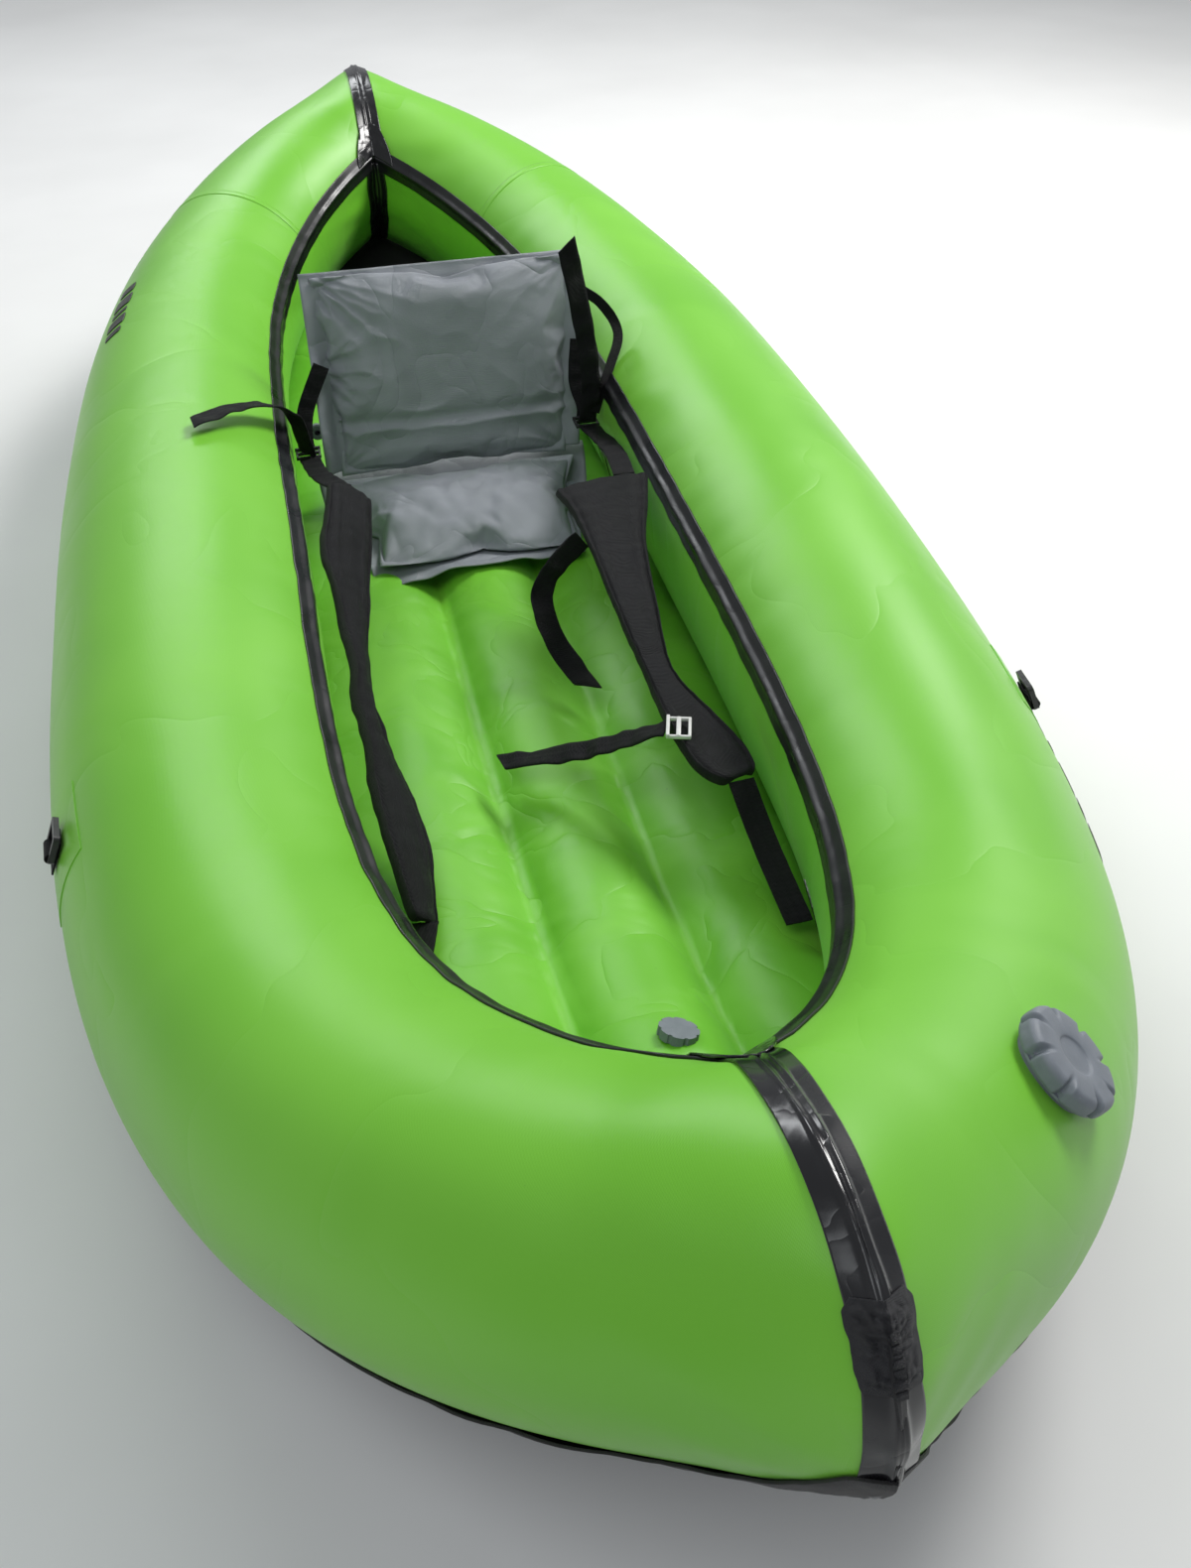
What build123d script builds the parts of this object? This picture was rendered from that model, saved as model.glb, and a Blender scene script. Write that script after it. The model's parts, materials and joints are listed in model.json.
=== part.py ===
from build123d import *
import math
import os

os.makedirs("parts", exist_ok=True)

# Inflatable kayak. Bow towards -Y, stern towards +Y, port side towards +X, +Z up.
# The origin lies on the ground under the middle of the hull.

# ---- driving dimensions, millimetres and degrees ----
hull_length = 2162.0            # between the two ends of the tube centrelines
widest_point_y = 8.0            # where the beam is greatest
half_beam = 328.0               # from the middle of the boat to a tube centreline
tube_radius = 154.0             # side tube, amidships
bow_tube_radius = 106.0
stern_tube_radius = 117.0
bow_rise = 236.0                # how far the ends of the tubes lift off the ground
stern_rise = 167.0
bow_plan_power, bow_plan_fullness = 4.0, 0.76
stern_plan_power, stern_plan_fullness = 3.5, 0.75
bow_rise_power, stern_rise_power = 3.9, 3.1
bend_end = 0.97                 # share of each half where the tube becomes straight
straight_end = 210.0            # length of the straight tube that the mitre cuts
seam_angle, bow_seam_angle, stern_seam_angle = 37.6, 33.5, 25.2
floor_joint_angle = -105.0      # where the bottom sheet meets the tube
inner_wall_bulge = 0.24         # sagitta of the inner wall, in tube radii

fabric = 1.2                    # coated hull fabric
tape = 1.0                      # seam tape and light patches
wrap = 1.2                      # abrasion fabric round the chine
fit_gap = 0.3                   # between separate sheets that lie on each other
edge_gap = 0.7                  # between the edges of sheets that meet
tape_width = 26.0               # coaming tape
end_tape_width = 44.0           # tape over the bow and stern mitres
inner_tape_width = 24.0
wrap_top_angle = -42.0          # how far the abrasion fabric climbs the tube
patch_length, patch_arc = 92.0, 34.0

floor_thickness = 90.0
floor_groove = 22             # depth of the groove over each floor web
centre_chamber_half = 63.0
floor_front_y, floor_rear_y = -830.0, 820.0
floor_side_gap = 8.0
floor_pocket = 18.0             # depth of the pocket for the floor valve

seat_rear_y, seat_front_y = 240.0, 100.0
seat_rear_half, seat_front_half = 150.0, 118.0
seat_height, seat_edge_radius = 50.0, 20.0
seat_flange_front_y, seat_flange_front_half, seat_flange_rear_half = 60.0, 132.0, 176.0
flange = 1.6
back_height, back_half, back_thickness = 232.0, 148.0, 44.0
back_flange_half, back_flange_height = 178.0, 246.0
back_recline = 14.0
hinge_above_seat = 10.0

webbing_width, webbing_thickness = 25.0, 1.6
brace_thickness = 8.0

buckle_width, buckle_length, buckle_thickness, buckle_slot = 31.0, 24.0, 4.0, 5.0

valve_station, valve_angle = -0.93, 58.0
valve_bore, valve_neck, valve_flange_radius = 19.0, 28.0, 34.0
valve_cap_radius, valve_cap_height, valve_lobes = 38.0, 14.0, 8
small_valve_bore, small_valve_neck, small_valve_cap_radius = 8.0, 12.0, 17.0
stem_bore, stem_neck, stem_cap_radius = 3.5, 6.0, 9.0
cap_gap = 0.4
plunger_travel = 5.0

ring_wire, ring_half_width, ring_reach = 2.5, 17.0, 24.0
tie_down_station, tie_down_angle = -0.45, 24.0

skin_outside = fit_gap + wrap   # the wrap's outer face, off the tube


# ---- the tube centreline and its sections ----
def along(t, value_amidships, value_bow, value_stern):
    end = value_bow if t < 0 else value_stern
    return value_amidships + (end - value_amidships) * t * t


def tube_radius_at(t):
    return along(min(max(t, -bend_end), bend_end), tube_radius, bow_tube_radius, stern_tube_radius)


def seam_angle_at(t):
    return 180 - along(min(max(t, -bend_end), bend_end), seam_angle, bow_seam_angle, stern_seam_angle)


def bent_centre(t):
    share = abs(t)
    if t < 0:
        y = widest_point_y + t * (hull_length / 2 + widest_point_y)
        plan = (1 - share ** bow_plan_power) ** bow_plan_fullness
        rise = bow_rise * share ** bow_rise_power
    else:
        y = widest_point_y + t * (hull_length / 2 - widest_point_y)
        plan = (1 - share ** stern_plan_power) ** stern_plan_fullness
        rise = stern_rise * share ** stern_rise_power
    return Vector(half_beam * plan, y, tube_radius_at(t) + skin_outside + rise)


def tube_frame(t):
    """Centre, outward, up and forward directions of the port tube at station t."""
    bent = min(max(t, -bend_end), bend_end)
    step = 0.002
    forward = (bent_centre(bent + step) - bent_centre(bent - step)).normalized()
    centre = bent_centre(bent) + forward * ((t - bent) * hull_length / 2)
    outward = Vector(forward.Y, -forward.X, 0).normalized()
    return centre, outward, outward.cross(forward), forward


def section_plane(t):
    centre, outward, upward, forward = tube_frame(t)
    return Plane(origin=centre, x_dir=outward, z_dir=-forward)


def on_tube(t, angle, offset=0.0):
    centre, outward, upward, forward = tube_frame(t)
    reach = tube_radius_at(t) + offset
    turn = math.radians(angle)
    return centre + outward * (reach * math.cos(turn)) + upward * (reach * math.sin(turn))


def arc_point(circle, angle, offset):
    x, y, radius = circle
    turn = math.radians(angle)
    return (x + (radius + offset) * math.cos(turn), y + (radius + offset) * math.sin(turn))


def outer_circle(t):
    return (0.0, 0.0, tube_radius_at(t))


def inner_wall(t):
    """The flatter circle of the inner wall, with its angles at the seam and the floor joint."""
    radius = tube_radius_at(t)
    top = arc_point(outer_circle(t), seam_angle_at(t), 0)
    low = arc_point(outer_circle(t), floor_joint_angle, 0)
    chord = math.dist(top, low)
    sagitta = inner_wall_bulge * radius
    wall_radius = (chord * chord / 4 + sagitta * sagitta) / (2 * sagitta)
    along_x, along_y = (low[0] - top[0]) / chord, (low[1] - top[1]) / chord
    x = (top[0] + low[0]) / 2 - along_y * (wall_radius - sagitta)
    y = (top[1] + low[1]) / 2 + along_x * (wall_radius - sagitta)
    top_angle = math.degrees(math.atan2(top[1] - y, top[0] - x))
    low_angle = math.degrees(math.atan2(low[1] - y, low[0] - x)) % 360
    return (x, y, wall_radius), top_angle, low_angle


def turn_for(length, radius):
    return math.degrees(length / radius)


def station_where(value, target, low, high):
    """The station between low and high where a rising value reaches the target."""
    for step in range(40):
        middle = (low + high) / 2
        if value(middle) < target:
            low = middle
        else:
            high = middle
    return (low + high) / 2


def floor_joint(t, offset=0.0):
    return on_tube(t, floor_joint_angle, offset)


def strip_face(circle, start, end, inside, outside):
    """A thin curved strip between two angles of a circle."""
    middle = (start + end) / 2
    with BuildSketch() as face:
        with BuildLine():
            ThreePointArc(*[arc_point(circle, angle, outside) for angle in (start, middle, end)])
            Line(arc_point(circle, end, outside), arc_point(circle, end, inside))
            ThreePointArc(*[arc_point(circle, angle, inside) for angle in (end, middle, start)])
            Line(arc_point(circle, start, inside), arc_point(circle, start, outside))
        make_face()
    return face.sketch


half_stations = [0.1, 0.3, 0.5, 0.66, 0.78, 0.87, 0.93, bend_end]
straight_steps = [straight_end * share / (hull_length / 2) for share in (0.33, 0.67, 1.0)]
ahead = half_stations + [bend_end + step for step in straight_steps]
stations = [-t for t in reversed(ahead)] + ahead


# ---- hull sheets, port side; the starboard ones are their mirror image ----
def tube_loft(face_at, at_stations):
    with BuildPart() as sheet:
        for t in at_stations:
            with BuildSketch(section_plane(t)):
                add(face_at(t))
        loft()
    return sheet.part


def port_side_of(part, gap):
    with BuildPart() as side:
        add(part)
        split(bisect_by=Plane.YZ.offset(gap), keep=Keep.TOP)
    return side.part


def outer_panel_face(t):
    circle = outer_circle(t)
    trim = turn_for(fit_gap, circle[2])
    return strip_face(circle, seam_angle_at(t) - trim, floor_joint_angle + trim, -fabric, 0)


def inner_panel_face(t):
    circle, top_angle, low_angle = inner_wall(t)
    trim = turn_for(fit_gap * 2, circle[2])
    return strip_face(circle, top_angle + trim, low_angle - trim, -fabric, 0)


def coaming_tape_face(t):
    """A strip folded over the seam, half on the tube and half on the inner wall."""
    circle = outer_circle(t)
    seam = seam_angle_at(t)
    wall, top_angle, low_angle = inner_wall(t)
    tube_end = seam - turn_for(tape_width / 2, circle[2])
    wall_end = top_angle + turn_for(tape_width / 2, wall[2])
    tube_middle, wall_middle = (seam + tube_end) / 2, (top_angle + wall_end) / 2
    half_fold = math.radians(abs(top_angle - seam)) / 2
    bisector = (seam + top_angle) / 2
    foot = arc_point(circle, seam, 0)

    def fold(offset):
        reach = offset / math.cos(half_fold)
        turn = math.radians(bisector)
        return (foot[0] + reach * math.cos(turn), foot[1] + reach * math.sin(turn))

    low, high = fit_gap, fit_gap + tape
    with BuildSketch() as face:
        with BuildLine():
            ThreePointArc(arc_point(circle, tube_end, high), arc_point(circle, tube_middle, high), fold(high))
            ThreePointArc(fold(high), arc_point(wall, wall_middle, high), arc_point(wall, wall_end, high))
            Line(arc_point(wall, wall_end, high), arc_point(wall, wall_end, low))
            ThreePointArc(arc_point(wall, wall_end, low), arc_point(wall, wall_middle, low), fold(low))
            ThreePointArc(fold(low), arc_point(circle, tube_middle, low), arc_point(circle, tube_end, low))
            Line(arc_point(circle, tube_end, low), arc_point(circle, tube_end, high))
        make_face()
    return face.sketch


def wrap_face(t):
    return strip_face(outer_circle(t), wrap_top_angle, floor_joint_angle, fit_gap, skin_outside)


def end_tape(bow):
    """Tape over the mitre, from above the cockpit down to the abrasion fabric."""
    def face_at(t):
        circle = outer_circle(t)
        top_trim = turn_for(tape_width / 2 + edge_gap, circle[2])
        low_trim = turn_for(edge_gap, circle[2])
        return strip_face(circle, seam_angle_at(t) - top_trim, wrap_top_angle + low_trim,
                          fit_gap, fit_gap + tape)

    return across_the_mitre(tube_loft(face_at, stations), end_tape_width, bow)


def inner_end_tape(bow):
    """Tape down the inner mitre, from under the coaming tape to the floor joint."""
    def face_at(t):
        circle, top_angle, low_angle = inner_wall(t)
        top_trim = turn_for(tape_width / 2 + edge_gap, circle[2])
        low_trim = turn_for(4 * edge_gap, circle[2])
        return strip_face(circle, top_angle + top_trim, low_angle - low_trim, fit_gap, fit_gap + tape)

    return across_the_mitre(tube_loft(face_at, stations), inner_tape_width, bow)


def across_the_mitre(strip, width, bow):
    side = -1 if bow else 1
    with BuildPart() as tape_piece:
        add(port_side_of(strip, 0))
        mirror(about=Plane.YZ)
        with Locations((0, side * hull_length / 2, tube_radius)):
            Box(width, hull_length, 8 * tube_radius, mode=Mode.INTERSECT)
    return tape_piece.part


def wall_patch(t, angle_shift, length, arc):
    """A welded patch on the inner wall; angle_shift is measured down from the seam."""
    def face_at(t_face):
        circle, top_angle, low_angle = inner_wall(t_face)
        middle = top_angle + angle_shift
        return strip_face(circle, middle - arc / 2, middle + arc / 2, fit_gap, fit_gap + tape)

    half = length / hull_length
    return tube_loft(face_at, [t - half, t, t + half])


def outer_patch(t, angle, length, arc):
    def face_at(t_face):
        return strip_face(outer_circle(t_face), angle + arc / 2, angle - arc / 2, fit_gap, fit_gap + tape)

    half = length / hull_length
    return tube_loft(face_at, [t - half, t, t + half])


# ---- bottom sheet and inflatable floor ----
bow_joint = station_where(lambda t: floor_joint(t).X, fit_gap, stations[0], -0.5)
stern_joint = station_where(lambda t: -floor_joint(t).X, -fit_gap, 0.5, stations[-1])
joint_stations = [bow_joint] + [t for t in stations if bow_joint < t < stern_joint] + [stern_joint]


def sheet_top(y):
    t = station_where(lambda t: floor_joint(t).Y, y, bow_joint, stern_joint)
    return floor_joint(t).Z


def make_bottom_sheet():
    edge = [floor_joint(t) for t in joint_stations]
    port_edge = [(max(point.X - edge_gap - fit_gap, 0), point.Y) for point in edge]
    starboard_edge = [(-x, y) for x, y in reversed(port_edge)]
    top_line = [(point.Y, point.Z) for point in edge]
    low_line = [(y, z - wrap) for y, z in reversed(top_line)]
    with BuildPart() as sheet:
        with BuildSketch(Plane.XY):
            with BuildLine():
                Spline(*port_edge)
                Spline(*starboard_edge)
            make_face()
        extrude(amount=2 * tube_radius)
        with BuildSketch(Plane.YZ):
            with BuildLine():
                Spline(*top_line)
                Line(top_line[-1], low_line[0])
                Spline(*low_line)
                Line(low_line[-1], top_line[0])
            make_face()
        extrude(amount=2 * half_beam, both=True, mode=Mode.INTERSECT)
    return sheet.part


def wall_at_height(t, height):
    """The point of the inner wall that lies this far above the floor joint."""
    centre, outward, upward, forward = tube_frame(t)
    circle, top_angle, low_angle = inner_wall(t)
    target = floor_joint(t).Z + height

    def point(angle):
        x, y = arc_point(circle, angle, 0)
        return centre + outward * x + upward * y

    angle = station_where(lambda angle: -point(angle).Z, -target, top_angle, low_angle)
    return point(angle)


def floor_half_at(y):
    t = station_where(lambda t: wall_at_height(t, floor_thickness / 2).Y, y, -0.99, 0.99)
    return wall_at_height(t, floor_thickness / 2).X - floor_side_gap


def floor_base(y):
    return sheet_top(y) + edge_gap


floor_length = floor_rear_y - floor_front_y
floor_ends = [(0.0, 0.35), (0.014, 0.76), (0.045, 1.0)]
floor_body = [(share, 1.0) for share in (0.08, 0.13, 0.19, 0.27, 0.38, 0.5, 0.62, 0.73, 0.81, 0.87, 0.92)]
floor_rings = floor_ends + floor_body + [(1 - share, height) for share, height in reversed(floor_ends)]


def floor_loft():
    with BuildPart() as body:
        for share, height in floor_rings:
            y = floor_front_y + share * floor_length
            full = floor_thickness * height
            rest = floor_base(y) + (floor_thickness - full) * 0.3
            groove = floor_groove * height
            top, low = full, 0
            side = floor_half_at(y)
            shoulder = side - floor_thickness * 0.3
            centre = centre_chamber_half
            middle = (centre + shoulder) / 2
            high_shoulder, low_shoulder = full * 0.78, full * 0.22
            with BuildSketch(Plane(origin=(0, y, rest), x_dir=(1, 0, 0), z_dir=(0, -1, 0))):
                with BuildLine():
                    ThreePointArc((-centre, top - groove), (0, top), (centre, top - groove))
                    ThreePointArc((centre, top - groove), (middle, top), (shoulder, high_shoulder))
                    ThreePointArc((shoulder, high_shoulder), (side, full / 2), (shoulder, low_shoulder))
                    ThreePointArc((shoulder, low_shoulder), (middle, low), (centre, low + groove))
                    ThreePointArc((centre, low + groove), (0, low), (-centre, low + groove))
                    ThreePointArc((-centre, low + groove), (-middle, low), (-shoulder, low_shoulder))
                    ThreePointArc((-shoulder, low_shoulder), (-side, full / 2), (-shoulder, high_shoulder))
                    ThreePointArc((-shoulder, high_shoulder), (-middle, top), (-centre, top - groove))
                make_face()
        loft()
    return body.part


def floor_top_at(x, y):
    """Height of the floor's middle chamber."""
    crown_radius = (centre_chamber_half ** 2 + floor_groove ** 2) / (2 * floor_groove)
    return floor_base(y) + floor_thickness - (crown_radius - math.sqrt(crown_radius ** 2 - x * x))


def floor_top_plane(x, y):
    step = 5.0
    lean_x = (floor_top_at(x + step, y) - floor_top_at(x - step, y)) / (2 * step)
    lean_y = (floor_top_at(x, y + step) - floor_top_at(x, y - step)) / (2 * step)
    return Plane(origin=(x, y, floor_top_at(x, y) + 1.2), x_dir=(1, 0, lean_x), z_dir=(-lean_x, -lean_y, 1))


floor_valve_plane = floor_top_plane(28.0, -765.0)


def make_inflatable_floor():
    """The closed outer shape of the inflated floor, with a pocket for its valve."""
    with BuildPart() as floor:
        add(floor_loft())
        with BuildSketch(floor_valve_plane.offset(-floor_pocket)):
            Circle(small_valve_neck + fit_gap)
        extrude(amount=floor_pocket + small_valve_cap_radius, mode=Mode.SUBTRACT)
    return floor.part


# ---- seat and backrest ----
seat_floor = floor_base(seat_rear_y) + floor_thickness + edge_gap
seat_bottom = seat_floor + flange + fit_gap
seat_top = seat_bottom + seat_height
hinge_y, hinge_z = seat_rear_y + back_thickness / 2 + fit_gap, seat_top + hinge_above_seat
lean = math.radians(back_recline)
back_up = Vector(0, math.sin(lean), math.cos(lean))
back_plane = Plane(origin=(0, hinge_y, hinge_z), x_dir=(1, 0, 0), z_dir=(0, -math.cos(lean), math.sin(lean)))


def trapezoid(front_y, front_half, rear_y, rear_half):
    with BuildSketch() as face:
        with BuildLine():
            Polyline((-rear_half, rear_y), (-front_half, front_y), (front_half, front_y),
                     (rear_half, rear_y), close=True)
        make_face()
    return face.sketch


def make_seat_base():
    """An inflatable cushion on its welded skirt."""
    with BuildPart() as seat:
        with BuildSketch(Plane.XY.offset(seat_floor)):
            add(trapezoid(seat_flange_front_y, seat_flange_front_half, seat_rear_y, seat_flange_rear_half))
        extrude(amount=flange)
        with BuildSketch(Plane.XY.offset(seat_floor + flange)):
            add(trapezoid(seat_front_y, seat_front_half, seat_rear_y, seat_rear_half))
        extrude(amount=seat_height)
        top_edges = seat.faces().sort_by(Axis.Z)[-1].edges()
        fillet(top_edges, radius=seat_edge_radius)
    return seat.part


def make_backrest():
    """An inflatable cushion with a round lower edge on the hinge line and a welded flange."""
    half_thick = back_thickness / 2
    with BuildPart() as back:
        with BuildSketch(Plane.YZ.offset(-back_half)):
            top = (hinge_y + back_height * math.sin(lean), hinge_z + back_height * math.cos(lean))
            with BuildLine():
                Line((hinge_y, hinge_z), top)
            trace(line_width=2 * half_thick)
            with Locations((hinge_y, hinge_z), top):
                Circle(half_thick)
        extrude(amount=2 * back_half)
        with BuildSketch(back_plane.offset(-flange / 2)):
            with Locations((0, back_flange_height / 2 + half_thick / 2)):
                Rectangle(2 * back_flange_half, back_flange_height)
        extrude(amount=flange)
    return back.part


# ---- webbing, braces and buckles ----
def webbing(points, across, width=webbing_width):
    """A flat strap along a bent line; across is the direction of its width."""
    start = Vector(*points[0])
    forward = (Vector(*points[-1]) - start).normalized()
    across = Vector(*across)
    across = (across - forward * across.dot(forward)).normalized()
    plane = Plane(origin=start, x_dir=forward, z_dir=across)
    flat = [plane.to_local_coords(Vector(*point)) for point in points]
    flat = [(point.X, point.Y) for point in flat]
    with BuildPart() as strap:
        with BuildSketch(plane):
            with BuildLine():
                Polyline(*flat)
            trace(line_width=webbing_thickness)
            for point in flat[1:-1]:
                with Locations(point):
                    Circle(webbing_thickness / 2)
        extrude(amount=width / 2, both=True)
    return strap.part


def brace(stations_along):
    """A padded strap; each station gives its middle, its half width and its sideways lean."""
    with BuildPart() as pad:
        count = len(stations_along)
        for index, (middle, half, tilt) in enumerate(stations_along):
            before = Vector(*stations_along[max(index - 1, 0)][0])
            after = Vector(*stations_along[min(index + 1, count - 1)][0])
            turn = math.radians(tilt)
            across = Vector(math.cos(turn), 0, math.sin(turn))
            forward = (after - before).normalized()
            across = (across - forward * across.dot(forward)).normalized()
            with BuildSketch(Plane(origin=middle, x_dir=across, z_dir=forward)):
                Rectangle(2 * half, brace_thickness)
        loft()
    return pad.part


port_brace_line = [
    ((143, -15, 243), 56, 6),
    ((140, -70, 242), 44, 6),
    ((131, -150, 236), 31, 4),
    ((125, -260, 222), 22, 0),
    ((124, -350, 206), 15, -4),
    ((138, -420, 196), 26, -8),
    ((152, -470, 189), 31, -8),
    ((163, -500, 184), 20, -8),
]
starboard_brace_line = [
    ((-140, 66, 226), 27, -30),
    ((-148, -10, 222), 30, -32),
    ((-158, -75, 212), 29, -36),
    ((-164, -200, 192), 15, -50),
    ((-166, -300, 176), 12, -54),
    ((-156, -400, 160), 20, -44),
    ((-150, -480, 148), 24, -38),
    ((-150, -570, 134), 14, -38),
]


def buckle(middle, along_strap, across):
    """A ladder-lock: a flat frame with two slots for webbing."""
    plane = Plane(origin=middle, x_dir=across, z_dir=Vector(*across).cross(Vector(*along_strap)))
    with BuildPart() as frame:
        with BuildSketch(plane.offset(-buckle_thickness / 2)):
            RectangleRounded(buckle_width, buckle_length, 3)
            with GridLocations(0, buckle_length / 2 - 1, 1, 2):
                Rectangle(webbing_width + 1, buckle_slot, mode=Mode.SUBTRACT)
        extrude(amount=buckle_thickness)
    return frame.part


# ---- valves ----
valve_lift = 1.6                # the flange stands clear of the curved fabric
valve_point = on_tube(valve_station, valve_angle, valve_lift)
valve_centre, valve_outward, valve_upward, valve_forward = tube_frame(valve_station)
valve_plane = Plane(origin=valve_point, x_dir=valve_forward, z_dir=valve_point - valve_centre)
neck_depth, neck_top = 14.6, 1.0
valve_flange_top = 2.6
stem_height, stem_cap_height = 15.0, 11.0


def disc(plane, low, high, radius, bore=0.0):
    with BuildPart() as ring:
        with BuildSketch(plane.offset(low)):
            Circle(radius)
            if bore:
                Circle(bore, mode=Mode.SUBTRACT)
        extrude(amount=high - low)
    return ring.part


def valve_body(plane, bore, neck, flange_radius):
    """A welded flange on a short neck; the spider across the neck guides the plunger."""
    with BuildPart() as body:
        add(disc(plane, -neck_depth, neck_top, neck, bore))
        add(disc(plane, neck_top, valve_flange_top, flange_radius, bore))
        with BuildSketch(plane.offset(-neck_depth)):
            for turn in (0, 60, 120):
                with Locations(Rotation(0, 0, turn)):
                    Rectangle(2 * bore + fabric, 2.4)
            Circle(bore * 0.28)
            Circle(bore * 0.14 + fit_gap, mode=Mode.SUBTRACT)
        extrude(amount=2.4)
    return body.part


def valve_cap(plane, bore, flange_radius, cap_radius, cap_height, lobes):
    """A scalloped cap whose plug goes into the bore."""
    with BuildPart() as cap:
        with BuildSketch(plane.offset(neck_top)):
            Circle(cap_radius)
            with PolarLocations(cap_radius + cap_radius * 0.04, lobes):
                Circle(cap_radius * 0.13, mode=Mode.SUBTRACT)
        extrude(amount=cap_height - neck_top)
        with BuildSketch(plane.offset(neck_top)):
            Circle(flange_radius + cap_gap)
        extrude(amount=valve_flange_top + cap_gap - neck_top, mode=Mode.SUBTRACT)
        add(disc(plane, -4.0, valve_flange_top + cap_gap, bore - cap_gap))
    return cap.part


def plunger(plane, bore, neck):
    """A push button, its stem and the sealing disc under the neck."""
    with BuildPart() as pin:
        add(disc(plane, -7.0, -4.4, bore * 0.32))
        add(disc(plane, -neck_depth - fit_gap, -7.0, bore * 0.14))
        add(disc(plane, -neck_depth - fit_gap - 2.0, -neck_depth - fit_gap, neck - 3.0))
    return pin.part


def plunger_spring(plane, bore):
    turns, height = 3, neck_depth - 2.4 - 7.0 - 2 * fit_gap
    wire_radius, coil_radius = 0.4, bore * 0.24
    seat = plane.offset(2.4 - neck_depth + fit_gap + wire_radius)
    rise = height - 2 * wire_radius
    with BuildPart() as spring:
        with BuildLine() as coil:
            Helix(pitch=rise / turns, height=rise, radius=coil_radius)
        with BuildSketch(Plane(origin=coil.line @ 0, z_dir=coil.line % 0)):
            Circle(wire_radius)
        sweep()
    return seat.from_local_coords(spring.part)


def stem_plane(plane, x, y, height):
    return Plane(origin=plane.from_local_coords((x, y, height)), x_dir=plane.x_dir, z_dir=plane.z_dir)


seat_stem_plane = stem_plane(Plane.XY, 155.5, 205.0, seat_floor + flange)
back_stem_plane = Plane(origin=back_plane.from_local_coords((-164.0, 40.0, -flange / 2)),
                        x_dir=(1, 0, 0), z_dir=-back_plane.z_dir)


def stem_valve(plane):
    with BuildPart() as stem:
        add(disc(plane, fit_gap, fit_gap + 1.4, stem_cap_radius, stem_bore))
        add(disc(plane, fit_gap + 1.4, stem_height, stem_neck, stem_bore))
    return stem.part


def stem_cap(plane):
    low = stem_height - stem_cap_height + 3.0
    with BuildPart() as cap:
        add(disc(plane, low, low + stem_cap_height, stem_cap_radius))
        with BuildSketch(plane.offset(low)):
            Circle(stem_neck + cap_gap)
        extrude(amount=stem_height + cap_gap - low, mode=Mode.SUBTRACT)
    return cap.part


# ---- tie-downs on the outside of the tubes ----
tie_point = on_tube(tie_down_station, tie_down_angle, fit_gap + tape)
tie_centre, tie_outward, tie_upward, tie_forward = tube_frame(tie_down_station)
tie_plane = Plane(origin=tie_point, x_dir=-tie_forward, z_dir=tie_point - tie_centre)
keeper_half, keeper_turn = 11.0, math.hypot(ring_wire, ring_wire) + fit_gap
bar_height = edge_gap + webbing_thickness + keeper_turn


def keeper():
    """Webbing folded round the straight bar of the ring, and its two tails on the patch."""
    section = Plane(origin=tie_plane.from_local_coords((-keeper_half, 0, 0)),
                    x_dir=tie_plane.y_dir, z_dir=tie_plane.x_dir)
    with BuildPart() as loop:
        with BuildSketch(section):
            with Locations((0, edge_gap + webbing_thickness / 2)):
                Rectangle(34, webbing_thickness)
            with Locations((0, bar_height)):
                Circle(keeper_turn + webbing_thickness)
                Circle(keeper_turn, mode=Mode.SUBTRACT)
        extrude(amount=2 * keeper_half)
    return loop.part


def d_ring():
    with BuildPart() as ring:
        with BuildSketch(tie_plane.offset(bar_height - ring_wire)):
            with Locations((0, -ring_reach / 2)):
                RectangleRounded(2 * ring_half_width, ring_reach + 2 * ring_wire, ring_wire * 1.6)
                RectangleRounded(2 * ring_half_width - 4 * ring_wire, ring_reach - 2 * ring_wire, 1.2,
                                 mode=Mode.SUBTRACT)
        extrude(amount=2 * ring_wire)
    return ring.part


# ---- straps and their anchors ----
strap_across = (1, 0, 0)
back_buckle_at = (180, 226, 196)
front_buckle_at = (119, -440, 206)


def on_back(x, up, out):
    """A point given from the hinge line: across, up the backrest and out from its middle plane."""
    return tuple(back_plane.from_local_coords((x, up, out)))


def anchor_on_wall(t, share):
    """A point just off a patch on the inner wall, share of the way down from the seam."""
    centre, outward, upward, forward = tube_frame(t)
    circle, top_angle, low_angle = inner_wall(t)
    x, y = arc_point(circle, top_angle + share * (low_angle - top_angle), fit_gap + tape + edge_gap)
    return centre + outward * x + upward * y


front_anchor_station, rear_anchor_station, anchor_share = -0.62, 0.215, 0.5
wall_arc = 16.0


def wall_anchor_patch(t):
    circle, top_angle, low_angle = inner_wall(t)
    return wall_patch(t, anchor_share * (low_angle - top_angle), patch_length / 2, wall_arc)


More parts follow.
